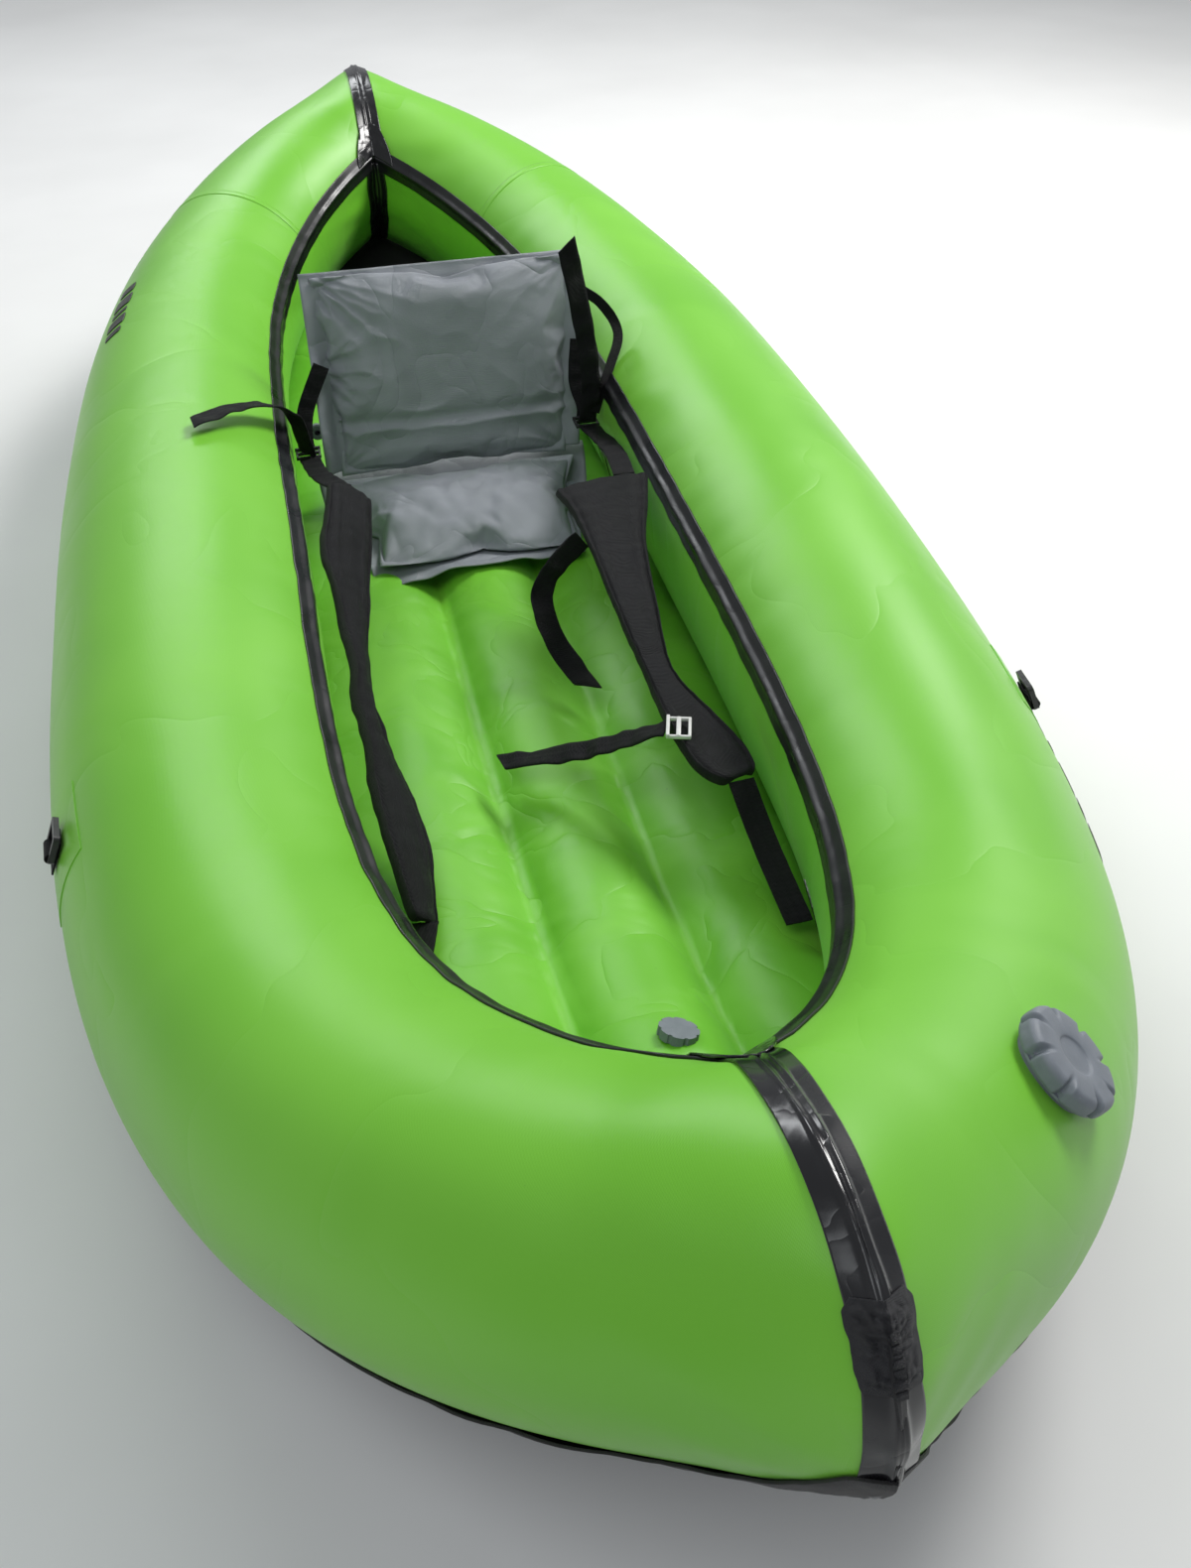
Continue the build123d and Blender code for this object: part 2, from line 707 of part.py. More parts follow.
def make_straps():
    half = webbing_width / 2
    front = anchor_on_wall(front_anchor_station, anchor_share)
    foot = (front.X - half - edge_gap, front.Y, front.Z)
    pieces["port_front_strap"] = webbing([(163, -505.8, 183), (168, -560, 160), foot], strap_across)
    left_foot = (-foot[0], foot[1], foot[2])
    pieces["starboard_front_strap"] = webbing([(-150, -572, 133), left_foot], strap_across)
    x, y, z = back_buckle_at
    strap_end = y - buckle_length / 2 - webbing_thickness
    pieces["port_rear_strap"] = webbing([(172, -12.6, 244), (180, 110, 222), (x, strap_end, z)], strap_across)
    skewed_end = strap_end - webbing_thickness
    pieces["starboard_rear_strap"] = webbing([(-150, 68.6, 228), (-174, 150, 210), (-x, skewed_end, z)],
                                             strap_across)
    both_sides("back_buckle", buckle(back_buckle_at, (0, 1, 0), (1, 0, 0)))
    strap = [(x, y + buckle_length / 2 + webbing_thickness, z), on_back(180, 110, 26),
             on_back(168, back_flange_height - 20, flange / 2 + webbing_thickness)]
    both_sides("back_strap", webbing(strap, strap_across, 20))
    pieces["port_back_tail"] = webbing([(x - 2, y - 6, z + 3.3), (176, 216, 300), (160, 230, 428)], (1, 0, 0.2))
    pieces["front_buckle"] = buckle(front_buckle_at, (-1, 0.3, 0), (0.3, 1, 0))
    pieces["port_front_tail"] = webbing([(103.8, -435.4, 203), (52, -400, 150), (-40, -340, 112)], (0.5, 1, 0))
    pieces["port_under_tail"] = webbing([(96, -118, 228), (56, -130, 190), (52, -170, 140),
                                         (66, -300, 106)], (1, 0.2, 0))
    pieces["starboard_tail"] = webbing([(-x, y - 6, z + 2.7), (-186, 204, 262), (-240, 150, 306),
                                        (-305, 92, 319)], (1, -0.95, 0))
    both_sides("front_anchor_patch", wall_anchor_patch(front_anchor_station))
    both_sides("rear_anchor_patch", wall_anchor_patch(rear_anchor_station))


# ---- pieces ----
pieces = {}


def both_sides(name, port_piece):
    pieces["port_" + name] = port_piece
    pieces["starboard_" + name] = mirror(port_piece, about=Plane.YZ)


def make_hull():
    with BuildPart() as valve_side:
        add(port_side_of(tube_loft(outer_panel_face, stations), fit_gap / 2))
        add(disc(valve_plane, -10, 10, valve_neck + fit_gap), mode=Mode.SUBTRACT)
    pieces["port_outer_panel"] = valve_side.part
    outer = port_side_of(tube_loft(outer_panel_face, stations), fit_gap / 2)
    pieces["starboard_outer_panel"] = mirror(outer, about=Plane.YZ)
    both_sides("inner_panel", port_side_of(tube_loft(inner_panel_face, stations), fit_gap / 2))
    both_sides("coaming_tape", port_side_of(tube_loft(coaming_tape_face, stations), fit_gap / 2))
    both_sides("chine_wrap", port_side_of(tube_loft(wrap_face, stations), fit_gap / 2))
    pieces["bow_seam_tape"] = end_tape(True)
    pieces["stern_seam_tape"] = end_tape(False)
    pieces["bow_inner_tape"] = inner_end_tape(True)
    pieces["stern_inner_tape"] = inner_end_tape(False)
    pieces["bottom_sheet"] = make_bottom_sheet()


def make_inside():
    pieces["inflatable_floor"] = make_inflatable_floor()
    pieces["seat_base"] = make_seat_base()
    pieces["backrest"] = make_backrest()


def make_valves():
    pieces["main_valve_body"] = valve_body(valve_plane, valve_bore, valve_neck, valve_flange_radius)
    pieces["main_valve_cap"] = valve_cap(valve_plane, valve_bore, valve_flange_radius,
                                         valve_cap_radius, valve_cap_height, valve_lobes)
    pieces["main_valve_plunger"] = plunger(valve_plane, valve_bore, valve_neck)
    pieces["main_valve_spring"] = plunger_spring(valve_plane, valve_bore)
    pieces["floor_valve_body"] = valve_body(floor_valve_plane, small_valve_bore, small_valve_neck,
                                            small_valve_cap_radius - 2)
    pieces["floor_valve_cap"] = valve_cap(floor_valve_plane, small_valve_bore, small_valve_cap_radius - 2,
                                          small_valve_cap_radius, 9.0, valve_lobes)
    pieces["seat_valve"] = stem_valve(seat_stem_plane)
    pieces["seat_valve_cap"] = stem_cap(seat_stem_plane)
    pieces["backrest_valve"] = stem_valve(back_stem_plane)
    pieces["backrest_valve_cap"] = stem_cap(back_stem_plane)


def make_rigging():
    pieces["port_thigh_brace"] = brace(port_brace_line)
    pieces["starboard_thigh_brace"] = brace(starboard_brace_line)
    both_sides("tie_down_patch", outer_patch(tie_down_station, tie_down_angle, patch_length, patch_arc))
    both_sides("tie_down_keeper", keeper())
    both_sides("tie_down_ring", d_ring())


make_hull()
make_inside()
make_valves()
make_rigging()
make_straps()
for name, piece in pieces.items():
    piece.label = name
    export_step(piece, "parts/" + name + ".step")
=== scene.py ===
import json
import math
import bpy
from mathutils import Matrix, Vector, noise


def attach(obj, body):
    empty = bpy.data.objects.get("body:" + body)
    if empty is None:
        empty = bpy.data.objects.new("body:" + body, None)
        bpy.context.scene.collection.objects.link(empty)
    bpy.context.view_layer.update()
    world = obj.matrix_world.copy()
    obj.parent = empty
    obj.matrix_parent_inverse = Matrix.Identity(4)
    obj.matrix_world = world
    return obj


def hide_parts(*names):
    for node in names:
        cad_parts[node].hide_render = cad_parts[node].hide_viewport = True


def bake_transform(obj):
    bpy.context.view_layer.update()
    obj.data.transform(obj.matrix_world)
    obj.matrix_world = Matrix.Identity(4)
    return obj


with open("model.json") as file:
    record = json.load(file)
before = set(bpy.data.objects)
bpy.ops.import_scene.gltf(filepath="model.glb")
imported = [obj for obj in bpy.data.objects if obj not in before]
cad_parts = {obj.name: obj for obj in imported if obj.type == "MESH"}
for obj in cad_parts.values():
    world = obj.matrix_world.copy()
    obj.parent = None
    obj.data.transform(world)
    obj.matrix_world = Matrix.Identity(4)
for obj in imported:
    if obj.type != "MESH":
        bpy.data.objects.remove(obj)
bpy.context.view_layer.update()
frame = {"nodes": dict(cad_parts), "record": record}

# hull shape, metres and degrees
hull = {
    "length": 2.162, "widestY": 0.008, "halfBeam": 0.328,
    "tubeRadius": 0.154, "bowRadius": 0.106, "sternRadius": 0.117,
    "bowRise": 0.236, "sternRise": 0.167, "bendEnd": 0.97, "lastStation": 1.16,
    "bowPlan": (4.0, 0.76), "sternPlan": (3.5, 0.75), "bowRisePower": 3.9, "sternRisePower": 3.1,
    "seamAngle": 37.6, "bowSeamAngle": 33.5, "sternSeamAngle": 25.2,
    "floorJoint": -105.0, "wallBulge": 0.24, "underside": 0.0015,
    "fabric": 0.0012,
}


def along(t, middle, bow, stern):
    bent = min(max(t, -hull["bendEnd"]), hull["bendEnd"])
    return middle + ((bow if t < 0 else stern) - middle) * bent * bent


def tubeRadius(t):
    return along(t, hull["tubeRadius"], hull["bowRadius"], hull["sternRadius"])


def seamAngle(t):
    return 180 - along(t, hull["seamAngle"], hull["bowSeamAngle"], hull["sternSeamAngle"])


def bentCentre(t):
    share, half = abs(t), hull["length"] / 2
    power, fullness = hull["bowPlan"] if t < 0 else hull["sternPlan"]
    reach = half + hull["widestY"] if t < 0 else half - hull["widestY"]
    if t < 0:
        rise = hull["bowRise"] * share ** hull["bowRisePower"]
    else:
        rise = hull["sternRise"] * share ** hull["sternRisePower"]
    plan = (1 - share ** power) ** fullness
    return Vector((hull["halfBeam"] * plan, hull["widestY"] + t * reach,
                   tubeRadius(t) + hull["underside"] + rise))


frameCache = {}


def tubeFrame(t):
    key = round(t, 7)
    if key not in frameCache:
        bent = min(max(t, -hull["bendEnd"]), hull["bendEnd"])
        forward = (bentCentre(bent + 0.002) - bentCentre(bent - 0.002)).normalized()
        centre = bentCentre(bent) + forward * ((t - bent) * hull["length"] / 2)
        outward = Vector((forward.y, -forward.x, 0)).normalized()
        frameCache[key] = (centre, outward, outward.cross(forward))
    return frameCache[key]


def onTube(t, angle, offset=0.0):
    centre, outward, upward = tubeFrame(t)
    reach, turn = tubeRadius(t) + offset, math.radians(angle)
    return centre + outward * (reach * math.cos(turn)) + upward * (reach * math.sin(turn))


def wallCircle(t):
    radius = tubeRadius(t)
    top, low = [Vector((math.cos(math.radians(a)), math.sin(math.radians(a)))) * radius
                for a in (seamAngle(t), hull["floorJoint"])]
    chord = (low - top).length
    sagitta = hull["wallBulge"] * radius
    wallRadius = (chord * chord / 4 + sagitta * sagitta) / (2 * sagitta)
    step = (low - top) / chord
    middle = (top + low) / 2 + Vector((-step.y, step.x)) * (wallRadius - sagitta)
    first = math.atan2(top.y - middle.y, top.x - middle.x)
    last = math.atan2(low.y - middle.y, low.x - middle.x) % (2 * math.pi)
    return middle, wallRadius, first, last


def onWall(t, share, offset=0.0):
    centre, outward, upward = tubeFrame(t)
    middle, radius, first, last = wallCircle(t)
    turn = first + (last - first) * share
    reach = radius + offset
    return (centre + outward * (middle.x + reach * math.cos(turn))
            + upward * (middle.y + reach * math.sin(turn)))


def stationWhere(place, x, end):
    low, high = (-hull["lastStation"], -0.6) if end == "bow" else (0.6, hull["lastStation"])
    for step in range(30):
        middle = (low + high) / 2
        tooNear = place(middle).x < x
        if tooNear == (end == "bow"):
            low = middle
        else:
            high = middle
    return (low + high) / 2


def mirrored(point, side):
    return Vector((point.x * side, point.y, point.z))


# making meshes
def pickOnly(piece):
    bpy.ops.object.select_all(action="DESELECT")
    piece.select_set(True)
    bpy.context.view_layer.objects.active = piece


def applied(piece, kind, **values):
    pickOnly(piece)
    modifier = piece.modifiers.new(kind.title(), kind)
    for key, value in values.items():
        setattr(modifier, key, value)
    bpy.ops.object.modifier_apply(modifier=modifier.name)


def gridSheet(name, cols, rows, place, awayFrom=None):
    bpy.ops.object.select_all(action="DESELECT")
    bpy.ops.mesh.primitive_grid_add(x_subdivisions=cols, y_subdivisions=rows, size=2)
    sheet = bpy.context.object
    sheet.name = sheet.data.name = name
    for vertex in sheet.data.vertices:
        vertex.co = place((vertex.co.x + 1) / 2, (vertex.co.y + 1) / 2)
    sheet.data.update()
    if awayFrom is not None:
        face = sheet.data.polygons[len(sheet.data.polygons) // 2 + cols // 2]
        if face.normal.dot(face.center - awayFrom) < 0:
            bpy.ops.object.mode_set(mode="EDIT")
            bpy.ops.mesh.select_all(action="SELECT")
            bpy.ops.mesh.flip_normals()
            bpy.ops.object.mode_set(mode="OBJECT")
    bpy.ops.object.shade_smooth()
    return sheet


def closedUp(piece):
    pickOnly(piece)
    bpy.ops.object.mode_set(mode="EDIT")
    bpy.ops.mesh.select_all(action="SELECT")
    bpy.ops.mesh.remove_doubles(threshold=0.00005)
    bpy.ops.mesh.normals_make_consistent(inside=False)
    bpy.ops.object.mode_set(mode="OBJECT")
    bpy.ops.object.shade_smooth()
    return piece


def thickened(sheet, thickness):
    applied(sheet, "SOLIDIFY", thickness=thickness, offset=-1.0)
    return sheet


def wrinkle(point, size, seed=0.0):
    return noise.noise(Vector((point.x / size + seed, point.y / size - seed, point.z / size)))


def fade(distance, reach):
    return math.exp(-(distance / reach) ** 2)


# materials
def newGroup(name, inputs, outputs):
    group = bpy.data.node_groups.new(name, "ShaderNodeTree")
    for label, value in inputs:
        socket = group.interface.new_socket(label, in_out="INPUT", socket_type="NodeSocketFloat")
        socket.default_value = value
    for label, kind in outputs:
        group.interface.new_socket(label, in_out="OUTPUT", socket_type=kind)
    start, end = group.nodes.new("NodeGroupInput"), group.nodes.new("NodeGroupOutput")
    return group, start, end


def mathNode(tree, kind, first, second):
    node = tree.nodes.new("ShaderNodeMath")
    node.operation = kind
    for index, value in enumerate((first, second)):
        if isinstance(value, (int, float)):
            node.inputs[index].default_value = value
        else:
            tree.links.new(value, node.inputs[index])
    return node.outputs[0]


def noiseNode(tree, vector, scale, detail=3.0, rough=0.5, distortion=0.0):
    node = tree.nodes.new("ShaderNodeTexNoise")
    tree.links.new(vector, node.inputs["Vector"])
    if isinstance(scale, (int, float)):
        node.inputs["Scale"].default_value = scale
    else:
        tree.links.new(scale, node.inputs["Scale"])
    node.inputs["Detail"].default_value = detail
    node.inputs["Roughness"].default_value = rough
    node.inputs["Distortion"].default_value = distortion
    return node.outputs["Fac"]


def makeCreaseGroup():
    group, start, end = newGroup("clothCreases", [("Size", 9.0), ("Depth", 1.0)],
                                 [("Height", "NodeSocketFloat"), ("Shade", "NodeSocketFloat")])
    coordinates = group.nodes.new("ShaderNodeTexCoord").outputs["Object"]
    broad = noiseNode(group, coordinates, start.outputs["Size"], 2.0, 0.45, 0.6)
    folded = mathNode(group, "ABSOLUTE", mathNode(group, "SUBTRACT", broad, 0.5), 0)
    ridge = mathNode(group, "POWER", folded, 0.6)
    group.links.new(mathNode(group, "MULTIPLY", ridge, start.outputs["Depth"]), end.inputs["Height"])
    group.links.new(broad, end.inputs["Shade"])
    return group


def makeWeaveGroup():
    group, start, end = newGroup("fineWeave", [("Pitch", 900.0), ("Depth", 1.0)],
                                 [("Height", "NodeSocketFloat")])
    coordinates = group.nodes.new("ShaderNodeTexCoord").outputs["Object"]
    waves = []
    for direction in ("X", "Y", "Z"):
        wave = group.nodes.new("ShaderNodeTexWave")
        wave.bands_direction = direction
        group.links.new(coordinates, wave.inputs["Vector"])
        group.links.new(start.outputs["Pitch"], wave.inputs["Scale"])
        waves.append(wave.outputs["Fac"])
    total = mathNode(group, "ADD", mathNode(group, "ADD", waves[0], waves[1]), waves[2])
    group.links.new(mathNode(group, "MULTIPLY", total, start.outputs["Depth"]), end.inputs["Height"])
    return group


def makeSpeckGroup():
    group, start, end = newGroup("dustSpecks", [("Size", 160.0), ("Amount", 0.72)],
                                 [("Mask", "NodeSocketFloat")])
    coordinates = group.nodes.new("ShaderNodeTexCoord").outputs["Object"]
    fine = noiseNode(group, coordinates, start.outputs["Size"], 2.0, 0.6)
    over = mathNode(group, "SUBTRACT", fine, start.outputs["Amount"])
    strength = mathNode(group, "MULTIPLY", mathNode(group, "MAXIMUM", over, 0.0), 8.0)
    group.links.new(strength, end.inputs["Mask"])
    return group


creaseGroup, weaveGroup, speckGroup = makeCreaseGroup(), makeWeaveGroup(), makeSpeckGroup()


def placedGroup(tree, group, **values):
    node = tree.nodes.new("ShaderNodeGroup")
    node.node_tree = group
    for key, value in values.items():
        node.inputs[key].default_value = value
    return node


def ramp(tree, value, stops):
    node = tree.nodes.new("ShaderNodeValToRGB")
    tree.links.new(value, node.inputs["Fac"])
    elements = node.color_ramp.elements
    while len(elements) < len(stops):
        elements.new(0.5)
    for element, (position, colour) in zip(elements, stops):
        element.position = position
        element.color = (*colour, 1.0)
    return node.outputs["Color"]


def greyRamp(tree, value, low, high):
    return ramp(tree, value, [(0.3, (low, low, low)), (0.7, (high, high, high))])


def clothMaterial(name, look):
    material = bpy.data.materials.new(name)
    material.use_nodes = True
    tree = material.node_tree
    shader = tree.nodes["Principled BSDF"]
    creases = placedGroup(tree, creaseGroup, Size=look["creaseSize"], Depth=look["creaseDepth"])
    weave = placedGroup(tree, weaveGroup, Pitch=look["weavePitch"], Depth=look["weaveDepth"])
    specks = placedGroup(tree, speckGroup, Size=look.get("speckSize", 160.0),
                         Amount=look.get("speckAmount", 0.72))
    colour = ramp(tree, creases.outputs["Shade"], [(0.25, look["dark"]), (0.75, look["light"])])
    mix = tree.nodes.new("ShaderNodeMix")
    mix.data_type = "RGBA"
    tree.links.new(specks.outputs["Mask"], mix.inputs["Factor"])
    tree.links.new(colour, mix.inputs["A"])
    mix.inputs["B"].default_value = (*look["speck"], 1.0)
    tree.links.new(mix.outputs["Result"], shader.inputs["Base Color"])
    tree.links.new(greyRamp(tree, creases.outputs["Shade"], look["gloss"], look["matt"]),
                   shader.inputs["Roughness"])
    shader.inputs["Specular IOR Level"].default_value = look.get("specular", 0.5)
    shader.inputs["Sheen Weight"].default_value = look.get("sheen", 0.0)
    shader.inputs["Coat Weight"].default_value = look.get("coat", 0.0)
    shader.inputs["Coat Roughness"].default_value = look.get("coatRoughness", 0.25)
    bump = tree.nodes.new("ShaderNodeBump")
    bump.inputs["Distance"].default_value = look["bump"]
    height = mathNode(tree, "ADD", creases.outputs["Height"], weave.outputs["Height"])
    tree.links.new(height, bump.inputs["Height"])
    tree.links.new(bump.outputs["Normal"], shader.inputs["Normal"])
    return material


looks = {
    "hullFabric": {"dark": (0.150, 0.475, 0.022), "light": (0.185, 0.530, 0.034), "speck": (0.05, 0.22, 0.02),
                   "speckAmount": 0.78, "speckSize": 190.0, "gloss": 0.34, "matt": 0.44, "creaseSize": 5.0,
                   "creaseDepth": 1.0, "weavePitch": 420.0, "weaveDepth": 0.006, "bump": 0.0022,
                   "sheen": 0.05},
    "floorFabric": {"dark": (0.135, 0.450, 0.020), "light": (0.185, 0.540, 0.036),
                    "speck": (0.02, 0.08, 0.01),
                    "speckAmount": 0.76, "speckSize": 120.0, "gloss": 0.36, "matt": 0.48, "creaseSize": 11.0,
                    "creaseDepth": 1.0, "weavePitch": 420.0, "weaveDepth": 0.006, "bump": 0.003,
                    "sheen": 0.05},
    "seamTape": {"dark": (0.004, 0.004, 0.005), "light": (0.010, 0.010, 0.012), "speck": (0.05, 0.05, 0.055),
                 "speckAmount": 0.8, "gloss": 0.12, "matt": 0.34, "creaseSize": 22.0, "creaseDepth": 1.0,
                 "weavePitch": 500.0, "weaveDepth": 0.0, "bump": 0.0012, "coat": 0.2, "coatRoughness": 0.12},
    "coamingTape": {"dark": (0.004, 0.004, 0.005), "light": (0.010, 0.010, 0.012),
                    "speck": (0.05, 0.05, 0.055),
                    "speckAmount": 0.8, "gloss": 0.24, "matt": 0.44, "creaseSize": 16.0, "creaseDepth": 1.0,
                    "weavePitch": 500.0, "weaveDepth": 0.0, "bump": 0.0008},
    "patchFabric": {"dark": (0.008, 0.008, 0.010), "light": (0.022, 0.022, 0.026),
                    "speck": (0.05, 0.05, 0.055),
                    "gloss": 0.42, "matt": 0.62, "creaseSize": 55.0, "creaseDepth": 1.0,
                    "weavePitch": 500.0, "weaveDepth": 0.05, "bump": 0.004},
    "abrasionFabric": {"dark": (0.010, 0.010, 0.011), "light": (0.024, 0.023, 0.023),
                       "speck": (0.09, 0.085, 0.08),
                       "gloss": 0.42, "matt": 0.62, "creaseSize": 14.0, "creaseDepth": 1.0,
                       "weavePitch": 420.0, "weaveDepth": 0.1, "bump": 0.003},
    "seatFabric": {"dark": (0.215, 0.235, 0.260), "light": (0.290, 0.310, 0.345), "speck": (0.25, 0.27, 0.3),
                   "speckAmount": 0.8, "gloss": 0.26, "matt": 0.40, "creaseSize": 9.0, "creaseDepth": 1.3,
                   "weavePitch": 520.0, "weaveDepth": 0.02, "bump": 0.005, "sheen": 0.05},
    "braceFabric": {"dark": (0.0035, 0.0035, 0.005), "light": (0.008, 0.008, 0.011),
                    "speck": (0.05, 0.05, 0.06),
                    "speckAmount": 0.72, "speckSize": 420.0, "gloss": 0.52, "matt": 0.70, "creaseSize": 18.0,
                    "creaseDepth": 0.6, "weavePitch": 330.0, "weaveDepth": 0.35, "bump": 0.0022,
                    "sheen": 0.04, "specular": 0.25},
    "webbing": {"dark": (0.0035, 0.0035, 0.0045), "light": (0.007, 0.007, 0.009), "speck": (0.05, 0.05, 0.06),
                "speckAmount": 0.74, "speckSize": 500.0, "gloss": 0.55, "matt": 0.75, "creaseSize": 30.0,
                "creaseDepth": 0.2, "weavePitch": 260.0, "weaveDepth": 0.5, "bump": 0.001, "specular": 0.25},
    "blackPlastic": {"dark": (0.010, 0.010, 0.011), "light": (0.018, 0.018, 0.019),
                     "speck": (0.05, 0.05, 0.05),
                     "gloss": 0.30, "matt": 0.42, "creaseSize": 60.0, "creaseDepth": 0.2, "weavePitch": 900.0,
                     "weaveDepth": 0.02, "bump": 0.0006},
    "palePlastic": {"dark": (0.55, 0.55, 0.53), "light": (0.70, 0.70, 0.68), "speck": (0.3, 0.3, 0.3),
                    "gloss": 0.28, "matt": 0.4, "creaseSize": 60.0, "creaseDepth": 0.2, "weavePitch": 900.0,
                    "weaveDepth": 0.02, "bump": 0.0006},
    "capPlastic": {"dark": (0.150, 0.170, 0.195), "light": (0.185, 0.205, 0.235), "speck": (0.3, 0.32, 0.35),
                   "speckAmount": 0.68, "speckSize": 700.0, "gloss": 0.45, "matt": 0.58, "creaseSize": 120.0,
                   "creaseDepth": 0.15, "weavePitch": 900.0, "weaveDepth": 0.03, "bump": 0.0006},
    "springSteel": {"dark": (0.45, 0.45, 0.46), "light": (0.6, 0.6, 0.62), "speck": (0.3, 0.3, 0.3),
                    "gloss": 0.2, "matt": 0.3, "creaseSize": 90.0, "creaseDepth": 0.2, "weavePitch": 900.0,
                    "weaveDepth": 0.0, "bump": 0.0003},
    "printInk": {"dark": (0.006, 0.010, 0.006), "light": (0.012, 0.018, 0.010), "speck": (0.05, 0.2, 0.03),
                 "speckAmount": 0.70, "speckSize": 260.0, "gloss": 0.38, "matt": 0.5, "creaseSize": 20.0,
                 "creaseDepth": 0.3, "weavePitch": 420.0, "weaveDepth": 0.03, "bump": 0.001},
}
materials = {name: clothMaterial(name, look) for name, look in looks.items()}
materials["springSteel"].node_tree.nodes["Principled BSDF"].inputs["Metallic"].default_value = 1.0
nodeFinish = {
    "hull_fabric": "hullFabric", "seam_tape": "seamTape", "abrasion_fabric": "abrasionFabric",
    "floor_fabric": "floorFabric", "seat_fabric": "seatFabric", "brace_fabric": "braceFabric",
    "webbing": "webbing", "black_plastic": "blackPlastic", "light_plastic": "palePlastic",
    "grey_plastic": "capPlastic", "spring_steel": "springSteel",
}
for row in frame["record"]["subparts"]:
    node = frame["nodes"][row["node"]]
    node.data.materials.clear()
    finish = "hullFabric" if row["node"].endswith("tie_down_patch") else nodeFinish[row["material_slot"]]
    node.data.materials.append(materials[finish])
print("materials ready")


def finished(piece, material, slot, body, *nodes):
    piece.data.materials.clear()
    piece.data.materials.append(materials[material])
    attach(piece, body)
    if nodes:
        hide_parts(*nodes)
    return piece


# hull
skin = {"tapeOut": 0.0020, "wrapOut": 0.0024, "tapeThick": 0.0018, "coamingHalf": 0.0155,
        "seamPucker": 0.0016, "endPucker": 0.0034, "broad": 0.0016,
        "bandStation": 0.76, "bandWidth": 0.011, "printThick": 0.0005, "patchThick": 0.0016,
        "bowTapeHalf": 0.0155, "sternTapeHalf": 0.0170, "innerTapeHalf": 0.0125, "wrapAngle": -42}


def relief(point, t, arcFromSeam):
    nearEnd = fade(point.x, 0.085) * (1 if abs(t) > 0.6 else 0)
    pulled = -0.0012 * fade(point.x, 0.016) * nearEnd
    rippled = noise.noise(Vector((point.z / 0.026, point.y / 0.09, point.x / 0.16)))
    ripples = rippled * skin["endPucker"] * nearEnd
    seam = noise.noise(Vector((point.y / 0.030, point.x / 0.2, 3.3))) * skin["seamPucker"]
    seam *= fade(arcFromSeam, 0.055)
    return pulled + ripples + seam + wrinkle(point, 0.26) * skin["broad"]


def skinPoint(side, t, angle, offset=0.0):
    base = mirrored(onTube(t, angle), side)
    arc = math.radians(seamAngle(t) - angle) * tubeRadius(t)
    return mirrored(onTube(t, angle, offset + relief(base, t, arc)), side)


def wallPoint(side, t, share, offset=0.0):
    base = mirrored(onWall(t, share), side)
    return mirrored(onWall(t, share, offset + relief(base, t, share * 0.3)), side)


def lengthwise(name, side, cols, rows, angleAt, offsetAt, place=skinPoint, gap=0.0002):
    ends = {}

    def point(u, v):
        key = round(v, 5)
        if key not in ends:
            ends[key] = [stationWhere(lambda t: place(1, t, angleAt(t, v), offsetAt(t, v)), gap, end)
                         for end in ("bow", "stern")]
        t = ends[key][0] + u * (ends[key][1] - ends[key][0])
        return place(side, t, angleAt(t, v), offsetAt(t, v))

    return gridSheet(name, cols, rows, point, mirrored(tubeFrame(0)[0], side))


def acrossEnd(name, end, cols, rows, halfAt, angleAt, offsetAt, place=skinPoint, bare=onTube):
    def point(u, v):
        angle = angleAt(v)
        x = (2 * u - 1) * halfAt(v)
        offset = offsetAt(u, v)
        t = stationWhere(lambda t: bare(t, angle, offset), abs(x), end)
        return place(-1 if x < 0 else 1, t, angle, offset)

    centre = tubeFrame(stationWhere(lambda t: tubeFrame(t)[0], 0, end))[0]
    return gridSheet(name, cols, rows, point, centre)


def smooth(value, low, high):
    share = min(max((value - low) / (high - low), 0), 1)
    return share * share * (3 - 2 * share)


def wrapTop(t, side=1):
    tip = fade(onTube(t, -10).x, 0.045) if t < -0.9 else 0
    bowLift = 15 * smooth(-t, 0.60, 0.92) + 24 * tip
    sternLift = 12 * smooth(t, 0.66, 1.02)
    wave = noise.noise(Vector((t * 14, side * 2.0, 0.5))) * (2.0 + 1.2 * smooth(-t, 0.7, 1.0))
    return skin["wrapAngle"] + bowLift + sternLift + wave * smooth(abs(abs(t) - 1.1), 0.0, 0.1)


def panelAngle(t, v):
    return hull["floorJoint"] + v * (seamAngle(t) - hull["floorJoint"])


def wrapOffset(side):
    def offset(t, v):
        bunch = smooth(-t, 0.62, 0.98) * 0.0030 + 0.0007
        crumple = abs(noise.noise(Vector((t * 30, v * 5.0, side * 3.0)))) * bunch
        return skin["wrapOut"] + crumple
    return offset


def coamingPoint(side, t, across, offset=0.0):
    half = skin["coamingHalf"]
    ridge = offset + 0.0026 * fade(across, 0.24)
    radius = tubeRadius(t)
    first, last = wallCircle(t)[2:]
    onOuter = skinPoint(side, t, seamAngle(t) - math.degrees(max(-across, 0) * half / radius), ridge)
    onInner = wallPoint(side, t, max(across, 0) * half / (wallCircle(t)[1] * (last - first)), ridge)
    share = smooth(across, -0.25, 0.25)
    return onOuter * (1 - share) + onInner * share


